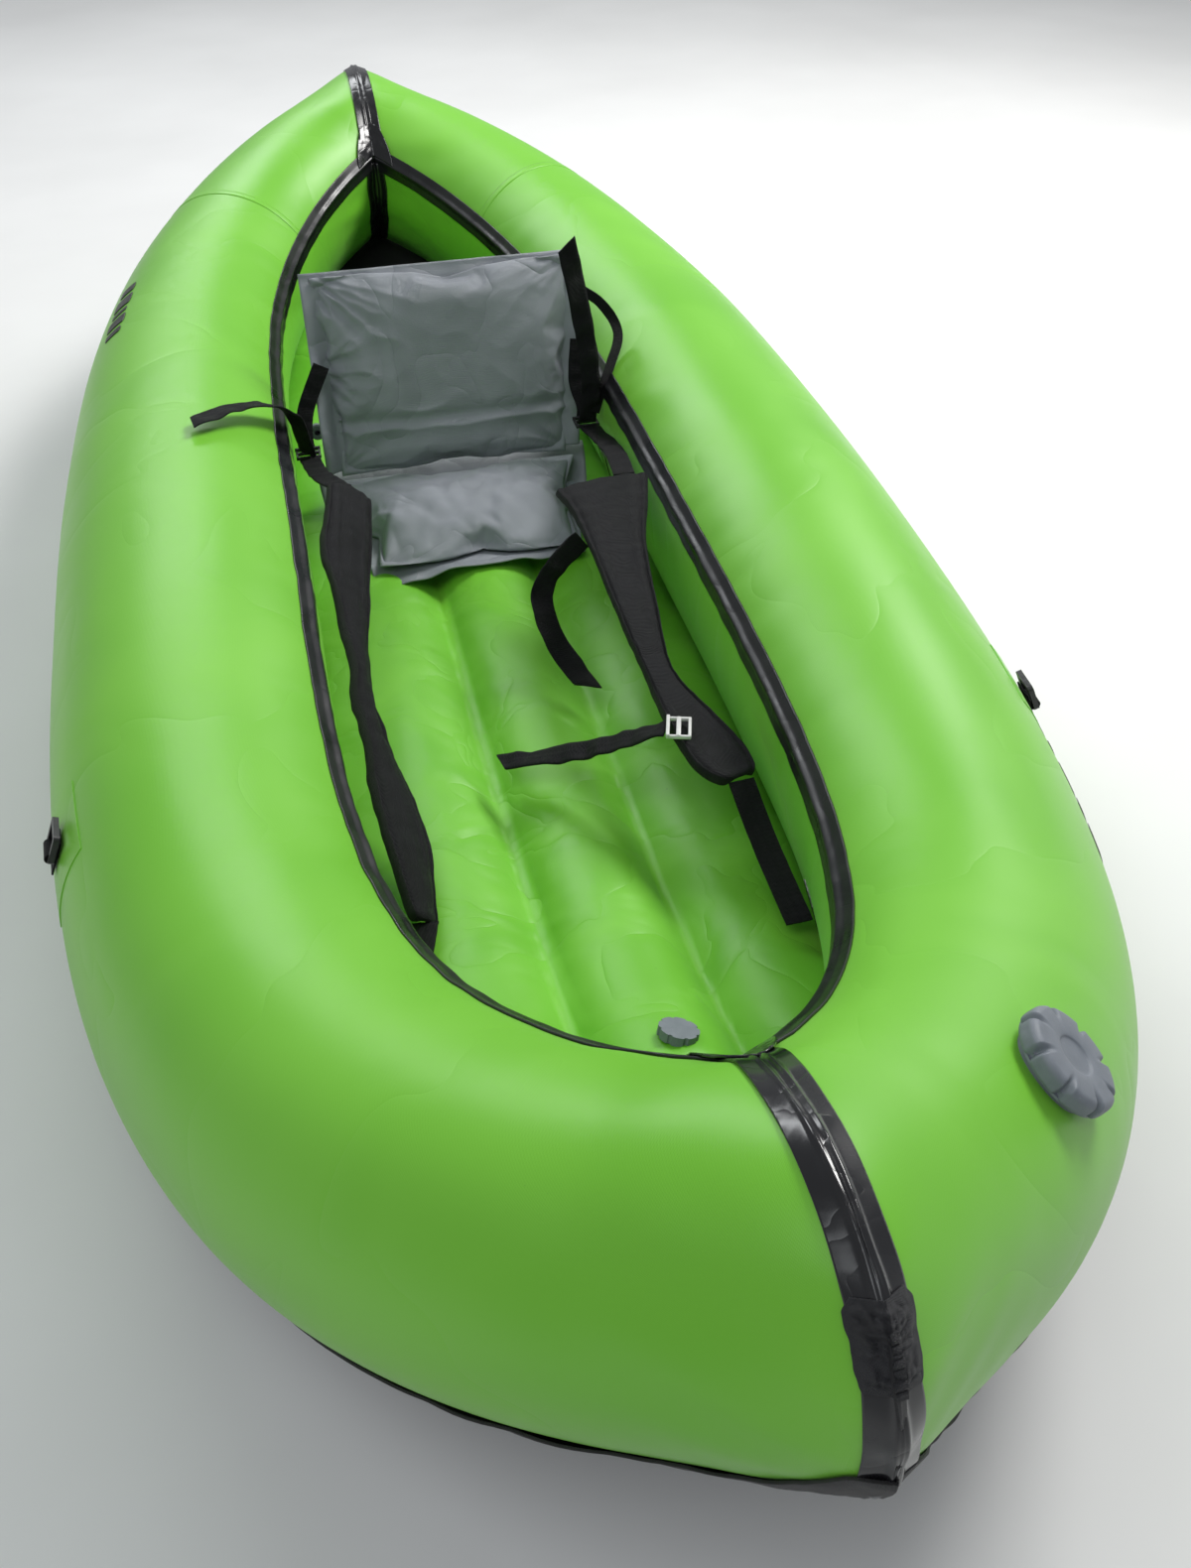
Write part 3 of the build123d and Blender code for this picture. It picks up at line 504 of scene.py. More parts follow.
def sideHull(side, word):
    outer = lengthwise(word + "OuterTube", side, 300, 72, panelAngle, lambda t, v: 0.0)
    finished(thickened(outer, hull["fabric"]), "hullFabric", "hull_fabric", "root", word + "_outer_panel")
    inner = lengthwise(word + "InnerWall", side, 300, 40, lambda t, v: v, lambda t, v: 0.0, wallPoint)
    finished(thickened(inner, hull["fabric"]), "hullFabric", "hull_fabric", "root", word + "_inner_panel")
    coaming = lengthwise(word + "CoamingTape", side, 420, 24, lambda t, v: 2 * v - 1,
                         lambda t, v: skin["tapeOut"], coamingPoint)
    finished(thickened(coaming, skin["tapeThick"]), "coamingTape", "seam_tape", "root",
             word + "_coaming_tape")
    wrap = lengthwise(word + "ChineWrap", side, 420, 26,
                      lambda t, v: hull["floorJoint"] + v * (wrapTop(t, side) - hull["floorJoint"]),
                      wrapOffset(side))
    finished(thickened(wrap, 0.0018), "abrasionFabric", "abrasion_fabric", "root", word + "_chine_wrap")
    station, half = skin["bandStation"], skin["bandWidth"] / hull["length"]

    def bandPoint(u, v):
        bowed = station + (2 * u - 1) * half + 0.012 * math.sin(v * 3.1)
        return skinPoint(side, bowed, -38 + v * (seamAngle(station) + 34), 0.0004)

    band = gridSheet(word + "PanelSeam0", 4, 60, bandPoint, mirrored(tubeFrame(station)[0], side))
    finished(thickened(band, skin["printThick"]), "hullFabric", "hull_fabric", "root")


for side, word in ((1, "port"), (-1, "starboard")):
    sideHull(side, word)
print("hull sides ready")


def tapeProfile(u):
    x = (2 * u - 1)
    return skin["tapeOut"] + 0.0013 * fade(abs(x) - 0.22, 0.09) - 0.0005 * fade(x, 0.07)


def crossTapes():
    bowTop, sternTop = seamAngle(-1) - 3, seamAngle(1) - 3
    rows = [
        ("bowSeamTape", "bow", skin["bowTapeHalf"], (bowTop, -24), "bow_seam_tape"),
        ("sternSeamTape", "stern", skin["sternTapeHalf"], (sternTop, -40), "stern_seam_tape"),
    ]
    for name, end, half, (top, low), node in rows:
        tape = acrossEnd(name, end, 36, 150, lambda v: half, lambda v: top + v * (low - top),
                         lambda u, v: tapeProfile(u))
        finished(thickened(tape, skin["tapeThick"]), "seamTape", "seam_tape", "root", node)
    for name, end, node in (("bowInnerTape", "bow", "bow_inner_tape"),
                            ("sternInnerTape", "stern", "stern_inner_tape")):
        tape = acrossEnd(name, end, 20, 80, lambda v: skin["innerTapeHalf"], lambda v: 0.03 + v * 0.95,
                         lambda u, v: tapeProfile(u), wallPoint, onWall)
        finished(thickened(tape, skin["tapeThick"]), "seamTape", "seam_tape", "root", node)

    def crumpled(u, v):
        rim = min(u, 1 - u, v, 1 - v)
        folds = abs(noise.noise(Vector((u * 3.5, v * 9, 4.2))))
        folds += 0.6 * abs(noise.noise(Vector((u * 9, v * 5, 1.1))))
        return 0.0034 + 0.0030 * folds * smooth(rim, 0.0, 0.2)

    def patchHalf(v):
        return 0.0172 + 0.0018 * noise.noise(Vector((v * 6, 0.4, 2.0))) - 0.003 * abs(2 * v - 1) ** 6

    bowPatch = acrossEnd("bowPatch", "bow", 60, 70, patchHalf, lambda v: 48 - 23 * v, crumpled)
    finished(thickened(bowPatch, skin["patchThick"]), "patchFabric", "seam_tape", "root")
    for name, end, high, low in (("sternOverlap", "stern", seamAngle(1) - 1, seamAngle(1) - 22),
                                 ("bowOverlap", "bow", seamAngle(-1) - 1, seamAngle(-1) - 16)):
        patch = acrossEnd(name, end, 40, 30, lambda v: 0.027 - 0.013 * v * v,
                          lambda v: high + v * (low - high),
                          lambda u, v: 0.0040 + 0.0006 * noise.noise(Vector((u * 6, v * 6, 0))))
        finished(thickened(patch, skin["patchThick"]), "seamTape", "seam_tape", "root")


crossTapes()
print("end tapes ready")


def decal(name, side, station, angle, length, height, bars):
    start = 0.0
    total = sum(width + 0.35 for width in bars)
    for index, width in enumerate(bars):
        low = station + side * (start / total - 0.5) * length / (hull["length"] / 2)
        high = station + side * ((start + width) / total - 0.5) * length / (hull["length"] / 2)
        tall = math.degrees(height / tubeRadius(station)) / 2 * (1.0 if index % 2 else 0.86)
        bar = gridSheet(f"{name}{index}", 8, 12, lambda u, v: skinPoint(
            side, low + u * (high - low), angle + (2 * v - 1) * tall * (1 - 0.12 * (2 * u - 1) ** 4), 0.0009),
            mirrored(tubeFrame(station)[0], side))
        finished(thickened(bar, skin["printThick"]), "printInk", "seam_tape", "root")
        start += width + 0.35


decal("portMark", 1, -0.515, 17, 0.290, 0.056, (1.0, 0.5, 1.2, 0.4, 0.9, 0.7, 1.1))
decal("starboardMark", -1, 0.483, 52, 0.160, 0.034, (0.8, 1.1, 0.4, 1.0, 0.6))

# floor
floorShape = {"frontY": -0.830, "rearY": 0.820, "thickness": 0.090, "groove": 0.033, "chamberHalf": 0.064,
              "chamberMiddle": 0.018, "sideGap": 0.006, "endRound": 0.055}


def floorTable():
    rows = []
    for index in range(61):
        y = floorShape["frontY"] + index / 60 * (floorShape["rearY"] - floorShape["frontY"])
        low, high = -1.0, 1.0
        for step in range(24):
            middle = (low + high) / 2
            if onTube(middle, hull["floorJoint"]).y < y:
                low = middle
            else:
                high = middle
        joint = onTube(low, hull["floorJoint"])
        first, last = 0.0, 1.0
        for step in range(18):
            share = (first + last) / 2
            if onWall(low, share).z > joint.z + 0.045:
                first = share
            else:
                last = share
        rows.append((y, joint.z + 0.0007, onWall(low, first).x - floorShape["sideGap"]))
    return rows


floorRows = floorTable()


def floorAt(y):
    place = (y - floorShape["frontY"]) / (floorShape["rearY"] - floorShape["frontY"]) * 60
    index = min(max(int(place), 0), 59)
    share = place - index
    low, high = floorRows[index], floorRows[index + 1]
    return low[1] + (high[1] - low[1]) * share, low[2] + (high[2] - low[2]) * share


def floorPoint(u, v):
    length = floorShape["rearY"] - floorShape["frontY"]
    y = floorShape["frontY"] + (0.5 - 0.5 * math.cos(u * math.pi)) * length * 0.25 + u * length * 0.75
    base, half = floorAt(y)
    fromEnd = min(y - floorShape["frontY"], floorShape["rearY"] - y)
    share = min(fromEnd / floorShape["endRound"], 1.0)
    height = math.sqrt(max(1 - (1 - share) ** 2, 0))
    turn = 2 * math.pi * v
    cosine, sine = math.cos(turn), math.sin(turn)
    x = half * math.copysign(abs(cosine) ** 0.62, cosine)
    z = math.copysign(abs(sine) ** 0.72, sine)
    chamber = floorShape["chamberHalf"]
    fromMiddle = abs(x - floorShape["chamberMiddle"])
    lobe = fromMiddle / chamber if fromMiddle < chamber else 1 - (fromMiddle - chamber) / (half * 0.36)
    groove = max(lobe, 0) ** 2.4
    ripple = noise.noise(Vector((y / 0.022, x / 0.12, z * 2))) * 0.0016 * fade(fromMiddle - chamber, 0.03)
    edge = noise.noise(Vector((y / 0.035, x / 0.3, z * 3))) * 0.0022 * smooth(abs(x) / half, 0.75, 1.0)
    weld = 0.0016 * fade(y + 0.372 - 0.44 * x, 0.004) + 0.0010 * fade(y - 0.30 + 0.1 * x, 0.005)
    lift = z * (floorShape["thickness"] / 2 - groove * floorShape["groove"] + weld) + ripple + edge
    return Vector((x, y, base + floorShape["thickness"] / 2 + (lift * height)))


inflatableFloor = gridSheet("inflatableFloor", 330, 260, floorPoint)
closedUp(inflatableFloor)
finished(inflatableFloor, "floorFabric", "floor_fabric", "root", "inflatable_floor")
print("floor ready")

# cushions
seat = {"floor": 0.0995, "top": 0.1514, "hingeY": 0.2623, "hingeZ": 0.1614, "lean": math.radians(14)}


def pillow(name, cols, rows, outline, thickness, pressure, frames):
    def point(u, v):
        around = v * 2
        rim = min(u, 1 - u, 1)
        side = around if around <= 1 else 2 - around
        edge = min(rim, side, 1 - side)
        x, y = outline(u, side)
        lift = thickness * min(edge / 0.12, 1.0) ** 0.5 * (1 if around <= 1 else -1)
        return Vector((x, y, lift))

    piece = closedUp(gridSheet(name, cols, rows * 2, point))
    pickOnly(piece)
    cloth = piece.modifiers.new("Cloth", "CLOTH")
    settings = cloth.settings
    settings.quality = 6
    settings.mass = 0.25
    settings.tension_stiffness = settings.compression_stiffness = 22
    settings.shear_stiffness = 12
    settings.bending_stiffness = 0.35
    settings.use_pressure = True
    settings.uniform_pressure_force = pressure
    settings.effector_weights.gravity = 0
    cloth.collision_settings.use_collision = False
    cloth.point_cache.frame_start, cloth.point_cache.frame_end = 1, frames
    for number in range(1, frames + 1):
        bpy.context.scene.frame_set(number)
    bpy.ops.object.modifier_apply(modifier=cloth.name)
    bpy.context.scene.frame_set(1)
    return piece


def fitted(piece, low, high):
    points = [vertex.co for vertex in piece.data.vertices]
    corners = [Vector((min(co[i] for co in points), max(co[i] for co in points), 0)) for i in range(3)]
    for vertex in piece.data.vertices:
        vertex.co = Vector([low[i] + (vertex.co[i] - corner.x) / (corner.y - corner.x) * (high[i] - low[i])
                            for i, corner in enumerate(corners)])
    return piece


def joined(first, second):
    bpy.ops.object.select_all(action="DESELECT")
    second.select_set(True)
    first.select_set(True)
    bpy.context.view_layer.objects.active = first
    bpy.ops.object.join()
    bpy.ops.object.shade_smooth()
    return first


def seatOutline(u, v):
    half = 0.128 + v * 0.032
    return 0.012 + (2 * u - 1) * half, 0.080 + v * 0.180


seatCushion = pillow("seatCushion", 64, 34, seatOutline, 0.012, 4.0, 22)
fitted(seatCushion, (-0.148, 0.074, seat["floor"] + 0.001), (0.172, 0.262, seat["top"] + 0.003))
for vertex in seatCushion.data.vertices:
    share = (vertex.co.z - seat["floor"]) / (seat["top"] - seat["floor"]) * 2 - 1
    base = 0.005 + 0.030 * smooth(vertex.co.y, 0.16, 0.262)
    full = 0.050 - base if share > 0 else 0.002
    crumple = 0.0060 * (abs(wrinkle(vertex.co, 0.045)) - 0.2) + 0.0030 * wrinkle(vertex.co, 0.018, 3.0)
    raised = 0.72 + 0.28 * smooth(vertex.co.y, 0.08, 0.20)
    vertex.co.z = seat["floor"] + base + share * full * raised + crumple * max(share, 0)
applied(seatCushion, "SUBSURF", levels=1, render_levels=1)


def seatFlange(u, v):
    rearward = 0.5 * (1 + math.cos(math.pi * (1 - v)))
    half = 0.132 + rearward * 0.048
    x = 0.008 + (2 * u - 1) * half
    y = 0.060 + v * 0.230
    rim = smooth(0.10 - v, 0.0, 0.10) + 0.5 * smooth(abs(2 * u - 1), 0.88, 1.0)
    wave = 0.006 * rim * (noise.noise(Vector((x / 0.030, y / 0.05, 0.7))) + 0.35)
    sunk = 0.013 * fade(x + 0.105, 0.045) * smooth(0.22 - v, 0.0, 0.22)
    gusset = 0.036 * smooth(y, 0.232, 0.286)
    return Vector((x, y, seat["floor"] + 0.0022 + wave - sunk + gusset))


seatSkirt = thickened(gridSheet("seatSkirt", 90, 50, seatFlange, Vector((0, 0.15, 0))), 0.0016)
seatCushion = joined(seatCushion, seatSkirt)
finished(seatCushion, "seatFabric", "seat_fabric", "root", "seat_base")


def onBack(point):
    x, up, out = point
    sine, cosine = math.sin(seat["lean"]), math.cos(seat["lean"])
    return Vector((x, seat["hingeY"] + up * sine - out * cosine, seat["hingeZ"] + up * cosine + out * sine))


def backOutline(u, v):
    return 0.008 + 0.008 * v + (2 * u - 1) * (0.150 + 0.016 * v), v * 0.25


backCushion = pillow("backCushion", 70, 58, backOutline, 0.010, 3.0, 22)
fitted(backCushion, (-0.150, -0.021, -0.021), (0.184, 0.231, 0.024))
applied(backCushion, "SUBSURF", levels=1, render_levels=1)


def backCrease(point):
    fold = 0.0
    corners = (((-0.155, 0.235), 0.0075, 1.0), ((0.186, 0.232), 0.0050, 2.0), ((-0.150, -0.02), 0.0050, 3.0),
               ((0.170, -0.02), 0.0045, 4.0), ((-0.170, 0.12), 0.0050, 5.0))
    for (x, up), deep, seed in corners:
        away = math.hypot(point.x - x, point.y - up)
        turn = math.atan2(point.y - up, point.x - x)
        ray = noise.noise(Vector((turn * 4.2, seed * 7.0, away * 5)))
        fold += deep * ray * smooth(away, 0.0, 0.03) * fade(away, 0.115)
    fold += 0.0050 * fade(point.y - 0.048 - 0.05 * (point.x - 0.02) ** 2, 0.010)
    fold -= 0.0030 * fade(point.y - 0.022, 0.014)
    return fold + 0.0018 * wrinkle(Vector((point.x, point.y, 0)), 0.045, 2.0)


for vertex in backCushion.data.vertices:
    front = 1 if vertex.co.z > 0 else 0.4
    vertex.co.z -= math.copysign(backCrease(vertex.co) * front, vertex.co.z)
    vertex.co = onBack(vertex.co)


def backFlange(u, v):
    half = 0.172 + 0.008 * v
    middle = 0.006 + 0.008 * v
    x = (2 * u - 1) * half
    up = -0.012 + v * 0.246
    side = smooth(abs(x), half - 0.032, half)
    top = smooth(up, 0.214, 0.234)
    curl = 0.026 * side * (1 if x < 0 else 0.25) * (0.6 + 0.4 * math.sin(up * 21))
    wave = (side + 0.6 * top) * 0.0085 * noise.noise(Vector((x / 0.05, up / 0.032, 2.7)))
    pulledIn = math.copysign(0.006 * side * (1 if x < 0 else 0.2), x)
    return onBack(Vector((middle + x - pulledIn, up, curl + wave - 0.004 * top)))


backSkirt = thickened(gridSheet("backSkirt", 110, 90, backFlange, onBack((0, 0.1, -0.05))), 0.0016)
backCushion = joined(backCushion, backSkirt)
finished(backCushion, "seatFabric", "seat_fabric", "backrest", "backrest")
print("cushions ready")

# braces, straps and buckles
# middle of the pad, half its width, and how far it is turned; millimetres and degrees
braceLines = {
    "port": [((143, -15, 243), 56, 6), ((140, -70, 242), 44, 6), ((131, -150, 236), 31, 4),
             ((125, -260, 222), 22, 0), ((124, -350, 206), 15, -4), ((138, -420, 196), 26, -8),
             ((152, -470, 189), 31, -8), ((163, -500, 184), 20, -8)],
    "starboard": [((-140, 66, 226), 27, -30), ((-148, -10, 222), 30, -32), ((-158, -75, 212), 29, -36),
                  ((-164, -200, 192), 15, -50), ((-166, -300, 176), 12, -54), ((-156, -400, 160), 20, -44),
                  ((-150, -480, 148), 24, -38), ((-150, -570, 134), 14, -38)],
}


def curvePoint(values, share):
    place = share * (len(values) - 1)
    index = min(int(place), len(values) - 2)
    s = place - index
    before, start, end, after = [values[min(max(index + i, 0), len(values) - 1)] for i in (-1, 0, 1, 2)]
    return (start * 2 + (end - before) * s + (before * 2 - start * 5 + end * 4 - after) * s * s
            + (start * 3 - before - end * 3 + after) * s * s * s) * 0.5


def heading(values, place, step):
    return (curvePoint(values, min(place + step, 1)) - curvePoint(values, max(place - step, 0))).normalized()


def evenly(values, share):
    lengths = [0.0]
    for first, second in zip(values, values[1:]):
        lengths.append(lengths[-1] + (second - first).length)
    target = share * lengths[-1]
    index = next((i for i in range(len(values) - 1) if lengths[i + 1] >= target), len(values) - 2)
    part = (target - lengths[index]) / max(lengths[index + 1] - lengths[index], 1e-9)
    return (index + min(max(part, 0), 1)) / (len(values) - 1)


def braceFrame(line, share):
    middles = [Vector(row[0]) / 1000 for row in line]
    place = evenly(middles, share)
    middle = curvePoint(middles, place)
    forward = heading(middles, place, 0.02)
    half = curvePoint([Vector((row[1] / 1000, row[2], 0)) for row in line], place)
    turn = math.radians(half.y)
    across = Vector((math.cos(turn), 0, math.sin(turn)))
    across = (across - forward * across.dot(forward)).normalized()
    return middle, half.x, across, across.cross(forward)


def thighBrace(side, bow, lift, wavy):
    line = braceLines[side]

    def point(u, v):
        middle, half, across, normal = braceFrame(line, u)
        if normal.z < 0:
            normal = -normal
        capped = min(u / 0.02, (1 - u) / 0.02, 1.0)
        close = math.sqrt(max(1 - (1 - capped) ** 2, 0))
        turn = 2 * math.pi * v
        flat = math.copysign(abs(math.cos(turn)) ** 0.35, math.cos(turn))
        thick = math.copysign(abs(math.sin(turn)) ** 0.5, math.sin(turn)) * 0.0042
        ribs = sum(fade(flat - place, 0.07) for place in (-0.45, 0.0, 0.45)) * smooth(half, 0.018, 0.028)
        piping = fade(abs(flat) - 0.93, 0.05) * 0.0018
        stitch = 0.0018 * fade(abs(flat) - 0.82, 0.035)
        thick = math.copysign(abs(thick) - ribs * 0.0034 + piping * 1.5 - stitch, thick)
        sag = bow * (flat * flat - 0.35) * half
        ruffle = wavy * abs(flat) ** 3 * noise.noise(Vector((u * 9, flat * 0.8, 5.1)))
        folds = 0.0016 * noise.noise(Vector((u * 34, flat * 1.4, 1.0)))
        away = thick * close + sag + ruffle + folds + lift
        return middle + across * (flat * half * (0.6 + 0.4 * close)) + normal * away

    piece = closedUp(gridSheet(side + "ThighBrace", 220, 72, point))
    finished(piece, "braceFabric", "brace_fabric", side + "_brace", side + "_thigh_brace")


thighBrace("port", -0.16, 0.001, 0.003)
thighBrace("starboard", -0.42, 0.001, 0.010)


def ribbon(name, points, across, width, thickness=0.0018, slant=0.0, ripple=0.0010, steps=150, tall=8):
    path = [Vector(point) / 1000 for point in points]
    if not isinstance(across[0], tuple):
        across = [across] * len(points)
    wide = [Vector(value).normalized() for value in across]

    def point(u, v):
        place = evenly(path, u)
        middle = curvePoint(path, place)
        forward = heading(path, place, 0.01)
        over = curvePoint(wide, place)
        over = (over - forward * over.dot(forward)).normalized()
        normal = over.cross(forward)
        side = 2 * v - 1
        wave = ripple * noise.noise(Vector((u * 11, side * 0.5, len(points))))
        rib = 0.00022 * math.cos(side * math.pi * 5)
        return (middle + over * (side * width / 2) + normal * (wave + rib)
                + forward * (slant * side * width / 2 * smooth(u, 0.9, 1.0)))

    piece = gridSheet(name, steps, tall, point)
    thickened(piece, thickness)
    return piece


def strap(name, points, across, node, body, width=0.025, slant=0.0, ripple=0.001, slotName="webbing"):
    piece = ribbon(name, points, across, width, slant=slant, ripple=ripple)
    return finished(piece, "webbing", slotName, body, node)


def bendingStrap(name, points, across, node, slant=0.0, ripple=0.001):
    piece = ribbon(name, points, across, 0.025, slant=slant, ripple=ripple)
    piece.data.materials.clear()
    piece.data.materials.append(materials["webbing"])
    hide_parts(node)
    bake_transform(piece)


strap("portFrontStrap", [(163, -503, 184), (168, -560, 158), (173.7, -649.4, 136.9)], (1, 0, 0),
      "port_front_strap", "port_brace")
strap("starboardFrontStrap", [(-150, -568, 134), (-162, -612, 134), (-173.7, -649.4, 136.9)], (1, 0, 0.2),
      "starboard_front_strap", "starboard_brace")
strap("portUnderTail",
      [(98, -116, 229), (66, -126, 206), (46, -140, 176), (52, -185, 146), (76, -236, 118)],
      (1, 0.2, 0), "port_under_tail", "port_brace", slant=0.7, ripple=0.004)
strap("portFrontTail", [(108, -436, 205), (84, -421, 188), (54, -401, 166), (8, -370, 138), (-40, -340, 114)],
      [(0.5, 1, 0), (0.5, 1, 0), (0.55, 1, 0.15), (0.5, 1, 0.1), (0.5, 1, 0)],
      "port_front_tail", "port_brace", slant=0.8, ripple=0.004)
for side, word in ((1, "port"), (-1, "starboard")):
    top = onBack((0.174 * side, 0.078, 0.026)) * 1000
    end = onBack((0.170 * side + (0.010 if side > 0 else 0.022), 0.128, 0.026)) * 1000
    strap(word + "BackStrap",
          [(180 * side, 238, 196), (181 * side, 244, 212), tuple(top), tuple(end)], (1, 0, 0),
          word + "_back_strap", "backrest", width=0.020)
strap("portBackTail", [(179, 222, 199), (183, 212, 240), (180, 212, 300), (170, 222, 370), (160, 232, 428)],
      (1, 0, 0.2), "port_back_tail", "backrest", width=0.024, slant=0.6, ripple=0.006)
loopStrap = ribbon("portLoopStrap", [(192, 290, 345), (212, 278, 332), (228, 266, 310), (230, 254, 292),
                                     (217, 236, 270), (202, 218, 248), (189, 214, 214)],
                   [(0.3, 0, 1), (0.6, 0, 0.8), (1, 0, 0.2), (1, 0, -0.2), (0.8, 0, -0.6),
                    (0.8, 0.1, -0.5), (1, 0, 0)],
                   0.012)
finished(loopStrap, "webbing", "webbing", "root")
bendingStrap("portRearStrap",
             [(172, -10, 244), (178, 50, 236), (181, 110, 222), (181, 170, 206), (180, 214, 196)],
             (1, 0, 0), "port_rear_strap", ripple=0.002)
bendingStrap("starboardRearStrap", [(-150, 66, 228), (-166, 110, 220), (-174, 150, 210), (-180, 214, 196)],
             (1, 0, 0), "starboard_rear_strap", ripple=0.002)
bendingStrap("starboardTail",
             [(-180, 220, 199), (-184, 210, 230), (-191, 200, 262), (-214, 176, 290), (-244, 148, 307),
              (-276, 118, 316), (-305, 92, 319)], (1, -0.95, 0), "starboard_tail",
             slant=0.7, ripple=0.003)


# place and size of each bar of a ladder lock: two sides, then front, middle and rear
lockBars = [
    (-0.0140, 0, 0, (0.0030, 0.0240, 0.0042)), (0.0140, 0, 0, (0.0030, 0.0240, 0.0042)),
    (0, -0.0105, 0.0004, (0.0300, 0.0032, 0.0040)), (0, 0.0002, 0.0008, (0.0300, 0.0046, 0.0040)),
    (0, 0.0105, 0.0016, (0.0320, 0.0036, 0.0046)),
]


def ladderLock(name, middle, alongStrap, across, material, slotName, body, node):
    across, alongStrap = Vector(across).normalized(), Vector(alongStrap).normalized()
    normal = across.cross(alongStrap).normalized()
    alongStrap = normal.cross(across).normalized()
    turned = Matrix((across, alongStrap, normal)).transposed().to_4x4()
    parts = []
    for x, y, z, sizes in lockBars:
        bpy.ops.object.select_all(action="DESELECT")
        bpy.ops.mesh.primitive_cube_add(size=1)
        bar = bpy.context.object
        for vertex in bar.data.vertices:
            vertex.co = Vector((x + vertex.co.x * sizes[0], y + vertex.co.y * sizes[1],
                                z + vertex.co.z * sizes[2]))
        applied(bar, "BEVEL", width=0.0010, segments=3)
        parts.append(bar)
    lock = parts[0]
    for bar in parts[1:]:
        joined(lock, bar)
    lock.data.transform(Matrix.Translation(Vector(middle) / 1000) @ turned)
    lock.name = lock.data.name = name
    finished(lock, material, slotName, body, node)


ladderLock("frontLadderLock", (119, -440, 206.5), (-1, 0.3, 0), (0.3, 1, 0), "palePlastic", "light_plastic",
           "front_buckle", "front_buckle")
ladderLock("portBackLadderLock", (180, 226, 196), (0, 1, 0), (1, 0, 0), "blackPlastic", "black_plastic",
           "backrest", "port_back_buckle")
ladderLock("starboardBackLadderLock", (-180, 226, 196), (0, 1, 0), (1, 0, 0), "blackPlastic", "black_plastic",
           "backrest", "starboard_back_buckle")
print("straps ready")

# main valve cap
valve = {"station": -0.93, "angle": 58, "lift": 0.0016, "radius": 0.0355, "height": 0.0150, "lobes": 8}


# radius and height along the cap, as shares of its own
capProfile = [(0.0, 0.86), (0.20, 0.84), (0.34, 0.86), (0.40, 0.95), (0.56, 1.0), (0.82, 0.985),
              (0.92, 0.93), (0.985, 0.76), (1.0, 0.52), (1.0, 0.20), (0.965, 0.12), (0.93, 0.12)]


def capPoint(u, v):
    turn = 2 * math.pi * u
    nearNotch = abs(((u * valve["lobes"]) % 1) - 0.5) * 2
    notch = smooth(nearNotch, 0.70, 1.0)
    radial = curvePoint([Vector((r, h, 0)) for r, h in capProfile], v)
    reach = valve["radius"] * radial.x * (1 - 0.10 * notch * smooth(radial.x, 0.70, 1.0))
    dip = 0.34 * notch * fade(radial.x - 0.98, 0.20) * smooth(radial.y, 0.4, 0.8)
    height = valve["height"] * (radial.y - dip)
    return Vector((reach * math.cos(turn), reach * math.sin(turn), max(height, 0.0017)))


mainCap = closedUp(gridSheet("mainValveCapShell", 320, 60, capPoint))
valvePoint = onTube(valve["station"], valve["angle"], valve["lift"])
centre, outward, upward = tubeFrame(valve["station"])
upFromHull = (valvePoint - centre).normalized()
sideways = upFromHull.cross(outward.cross(upward)).normalized()
capTurn = Matrix((sideways, upFromHull.cross(sideways), upFromHull)).transposed().to_4x4()
mainCap.data.transform(Matrix.Translation(valvePoint) @ capTurn @ Matrix.Rotation(math.radians(12), 4, "Z"))
applied(mainCap, "SOLIDIFY", thickness=0.0012, offset=-1.0)
finished(mainCap, "capPlastic", "grey_plastic", "main_valve_cap", "main_valve_cap")
print("valve cap ready")

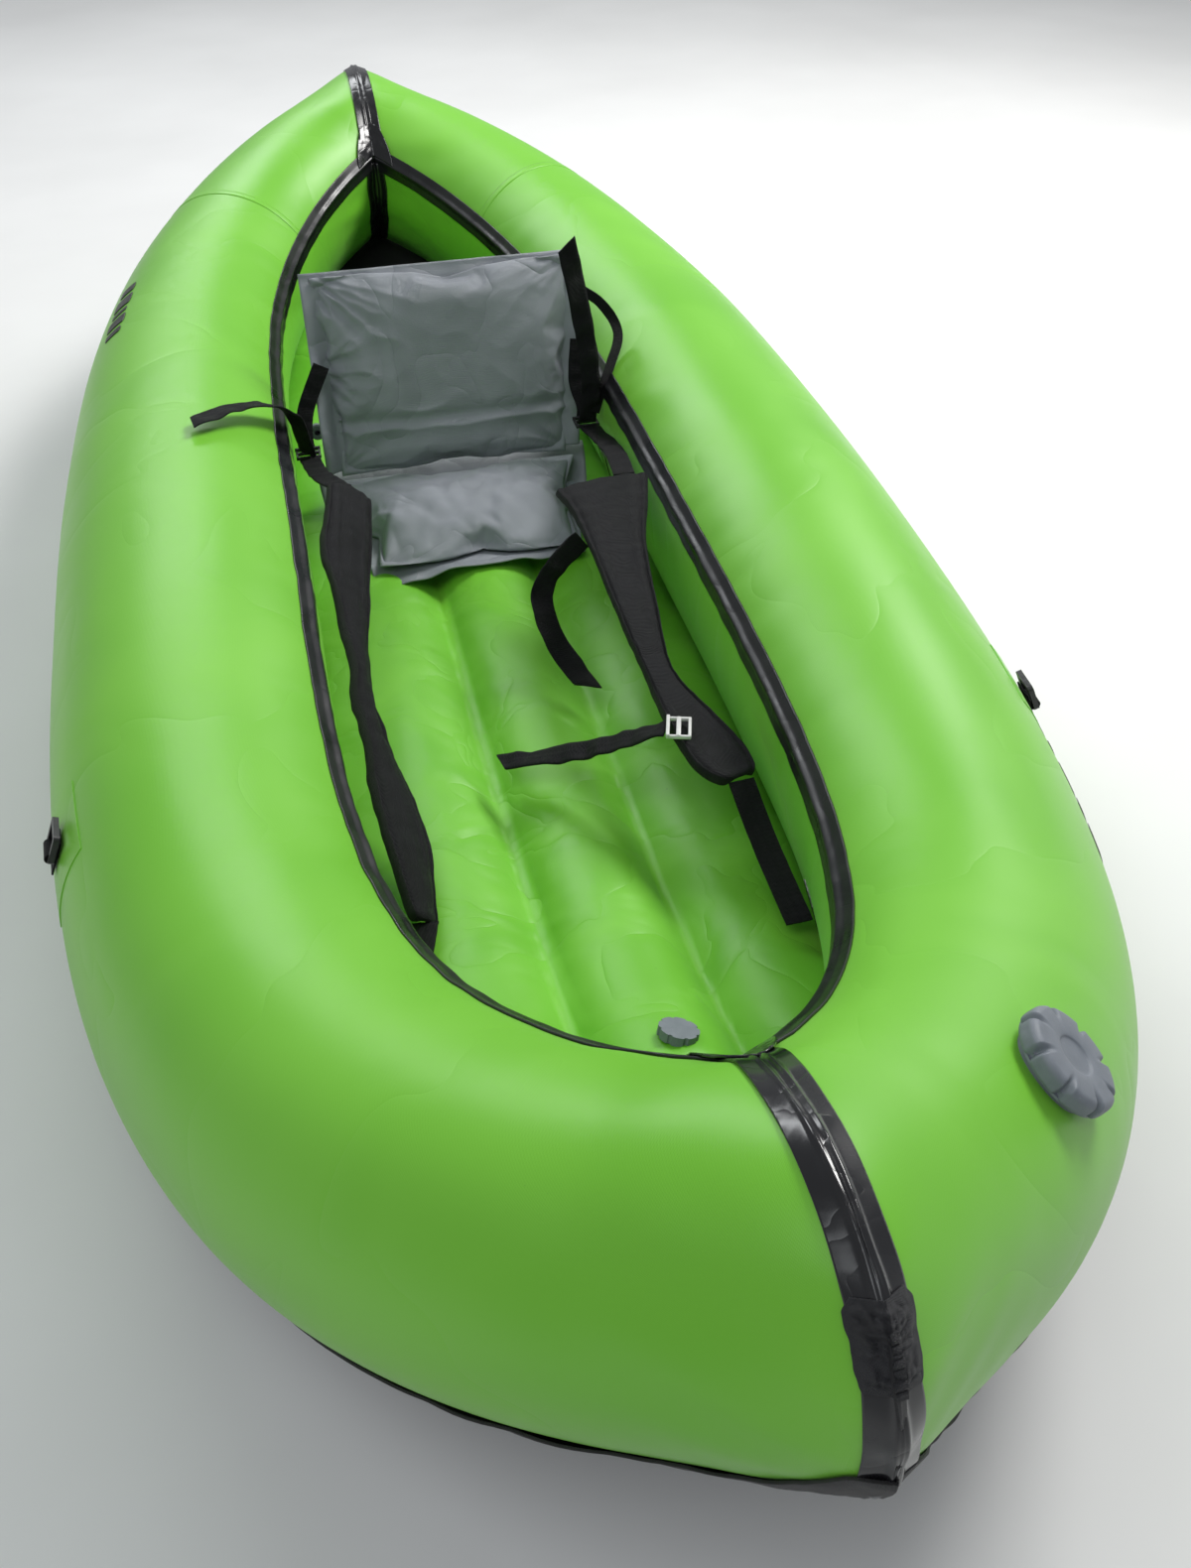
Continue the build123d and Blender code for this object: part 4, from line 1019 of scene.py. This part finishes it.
# ground, camera and light
bpy.ops.object.select_all(action="DESELECT")
bpy.ops.mesh.primitive_plane_add(size=14)
ground = bpy.context.object
ground.name = "ground"
groundLook = bpy.data.materials.new("ground")
groundLook.use_nodes = True
groundTree = groundLook.node_tree
groundShader = groundTree.nodes["Principled BSDF"]
groundPlace = groundTree.nodes.new("ShaderNodeTexCoord").outputs["Object"]
groundTone = noiseNode(groundTree, groundPlace, 2.0, 4.0, 0.5)
groundTree.links.new(ramp(groundTree, groundTone, [(0.3, (0.74, 0.74, 0.73)), (0.7, (0.80, 0.80, 0.79))]),
                     groundShader.inputs["Base Color"])
groundShader.inputs["Roughness"].default_value = 0.85
ground.data.materials.append(groundLook)

view = {"place": (-0.2033, -1.5045, 1.0741), "yaw": -0.2217, "pitch": 0.7012, "roll": -0.0121, "lens": 33.79}
cameraData = bpy.data.cameras.new("camera")
camera = bpy.data.objects.new("camera", cameraData)
bpy.context.scene.collection.objects.link(camera)
yaw, pitch, roll = view["yaw"], view["pitch"], view["roll"]
forward = Vector((-math.sin(yaw) * math.cos(pitch), math.cos(yaw) * math.cos(pitch), -math.sin(pitch)))
right = Vector((math.cos(yaw), math.sin(yaw), 0))
up = right.cross(forward)
rightRolled = right * math.cos(roll) + up * math.sin(roll)
upRolled = up * math.cos(roll) - right * math.sin(roll)
turned = Matrix((rightRolled, upRolled, -forward)).transposed().to_4x4()
camera.matrix_world = Matrix.Translation(view["place"]) @ turned
cameraData.lens = view["lens"]
cameraData.sensor_width = 36
cameraData.clip_start = 0.02
scene = bpy.context.scene
scene.camera = camera


def areaLight(name, place, aim, size, power, colour):
    data = bpy.data.lights.new(name, "AREA")
    data.shape = "RECTANGLE"
    data.size, data.size_y = size
    data.energy = power
    data.color = colour
    light = bpy.data.objects.new(name, data)
    scene.collection.objects.link(light)
    light.location = place
    light.rotation_euler = (Vector(aim) - Vector(place)).to_track_quat("-Z", "Y").to_euler()


areaLight("keyLight", (1.9, 1.0, 2.5), (0, 0, 0.2), (1.3, 1.0), 92, (1.0, 0.99, 0.97))
areaLight("skyLight", (-1.2, -1.6, 3.2), (0, 0, 0.2), (2.4, 1.6), 30, (0.93, 0.97, 1.0))
areaLight("farLight", (-0.6, 3.2, 2.4), (0, 0.4, 0.2), (2.0, 0.8), 34, (0.95, 0.98, 1.0))
world = bpy.data.worlds.new("world")
scene.world = world
world.use_nodes = True
world.node_tree.nodes["Background"].inputs["Color"].default_value = (0.93, 0.96, 1.0, 1.0)
world.node_tree.nodes["Background"].inputs["Strength"].default_value = 0.36
scene.view_settings.view_transform = "Standard"
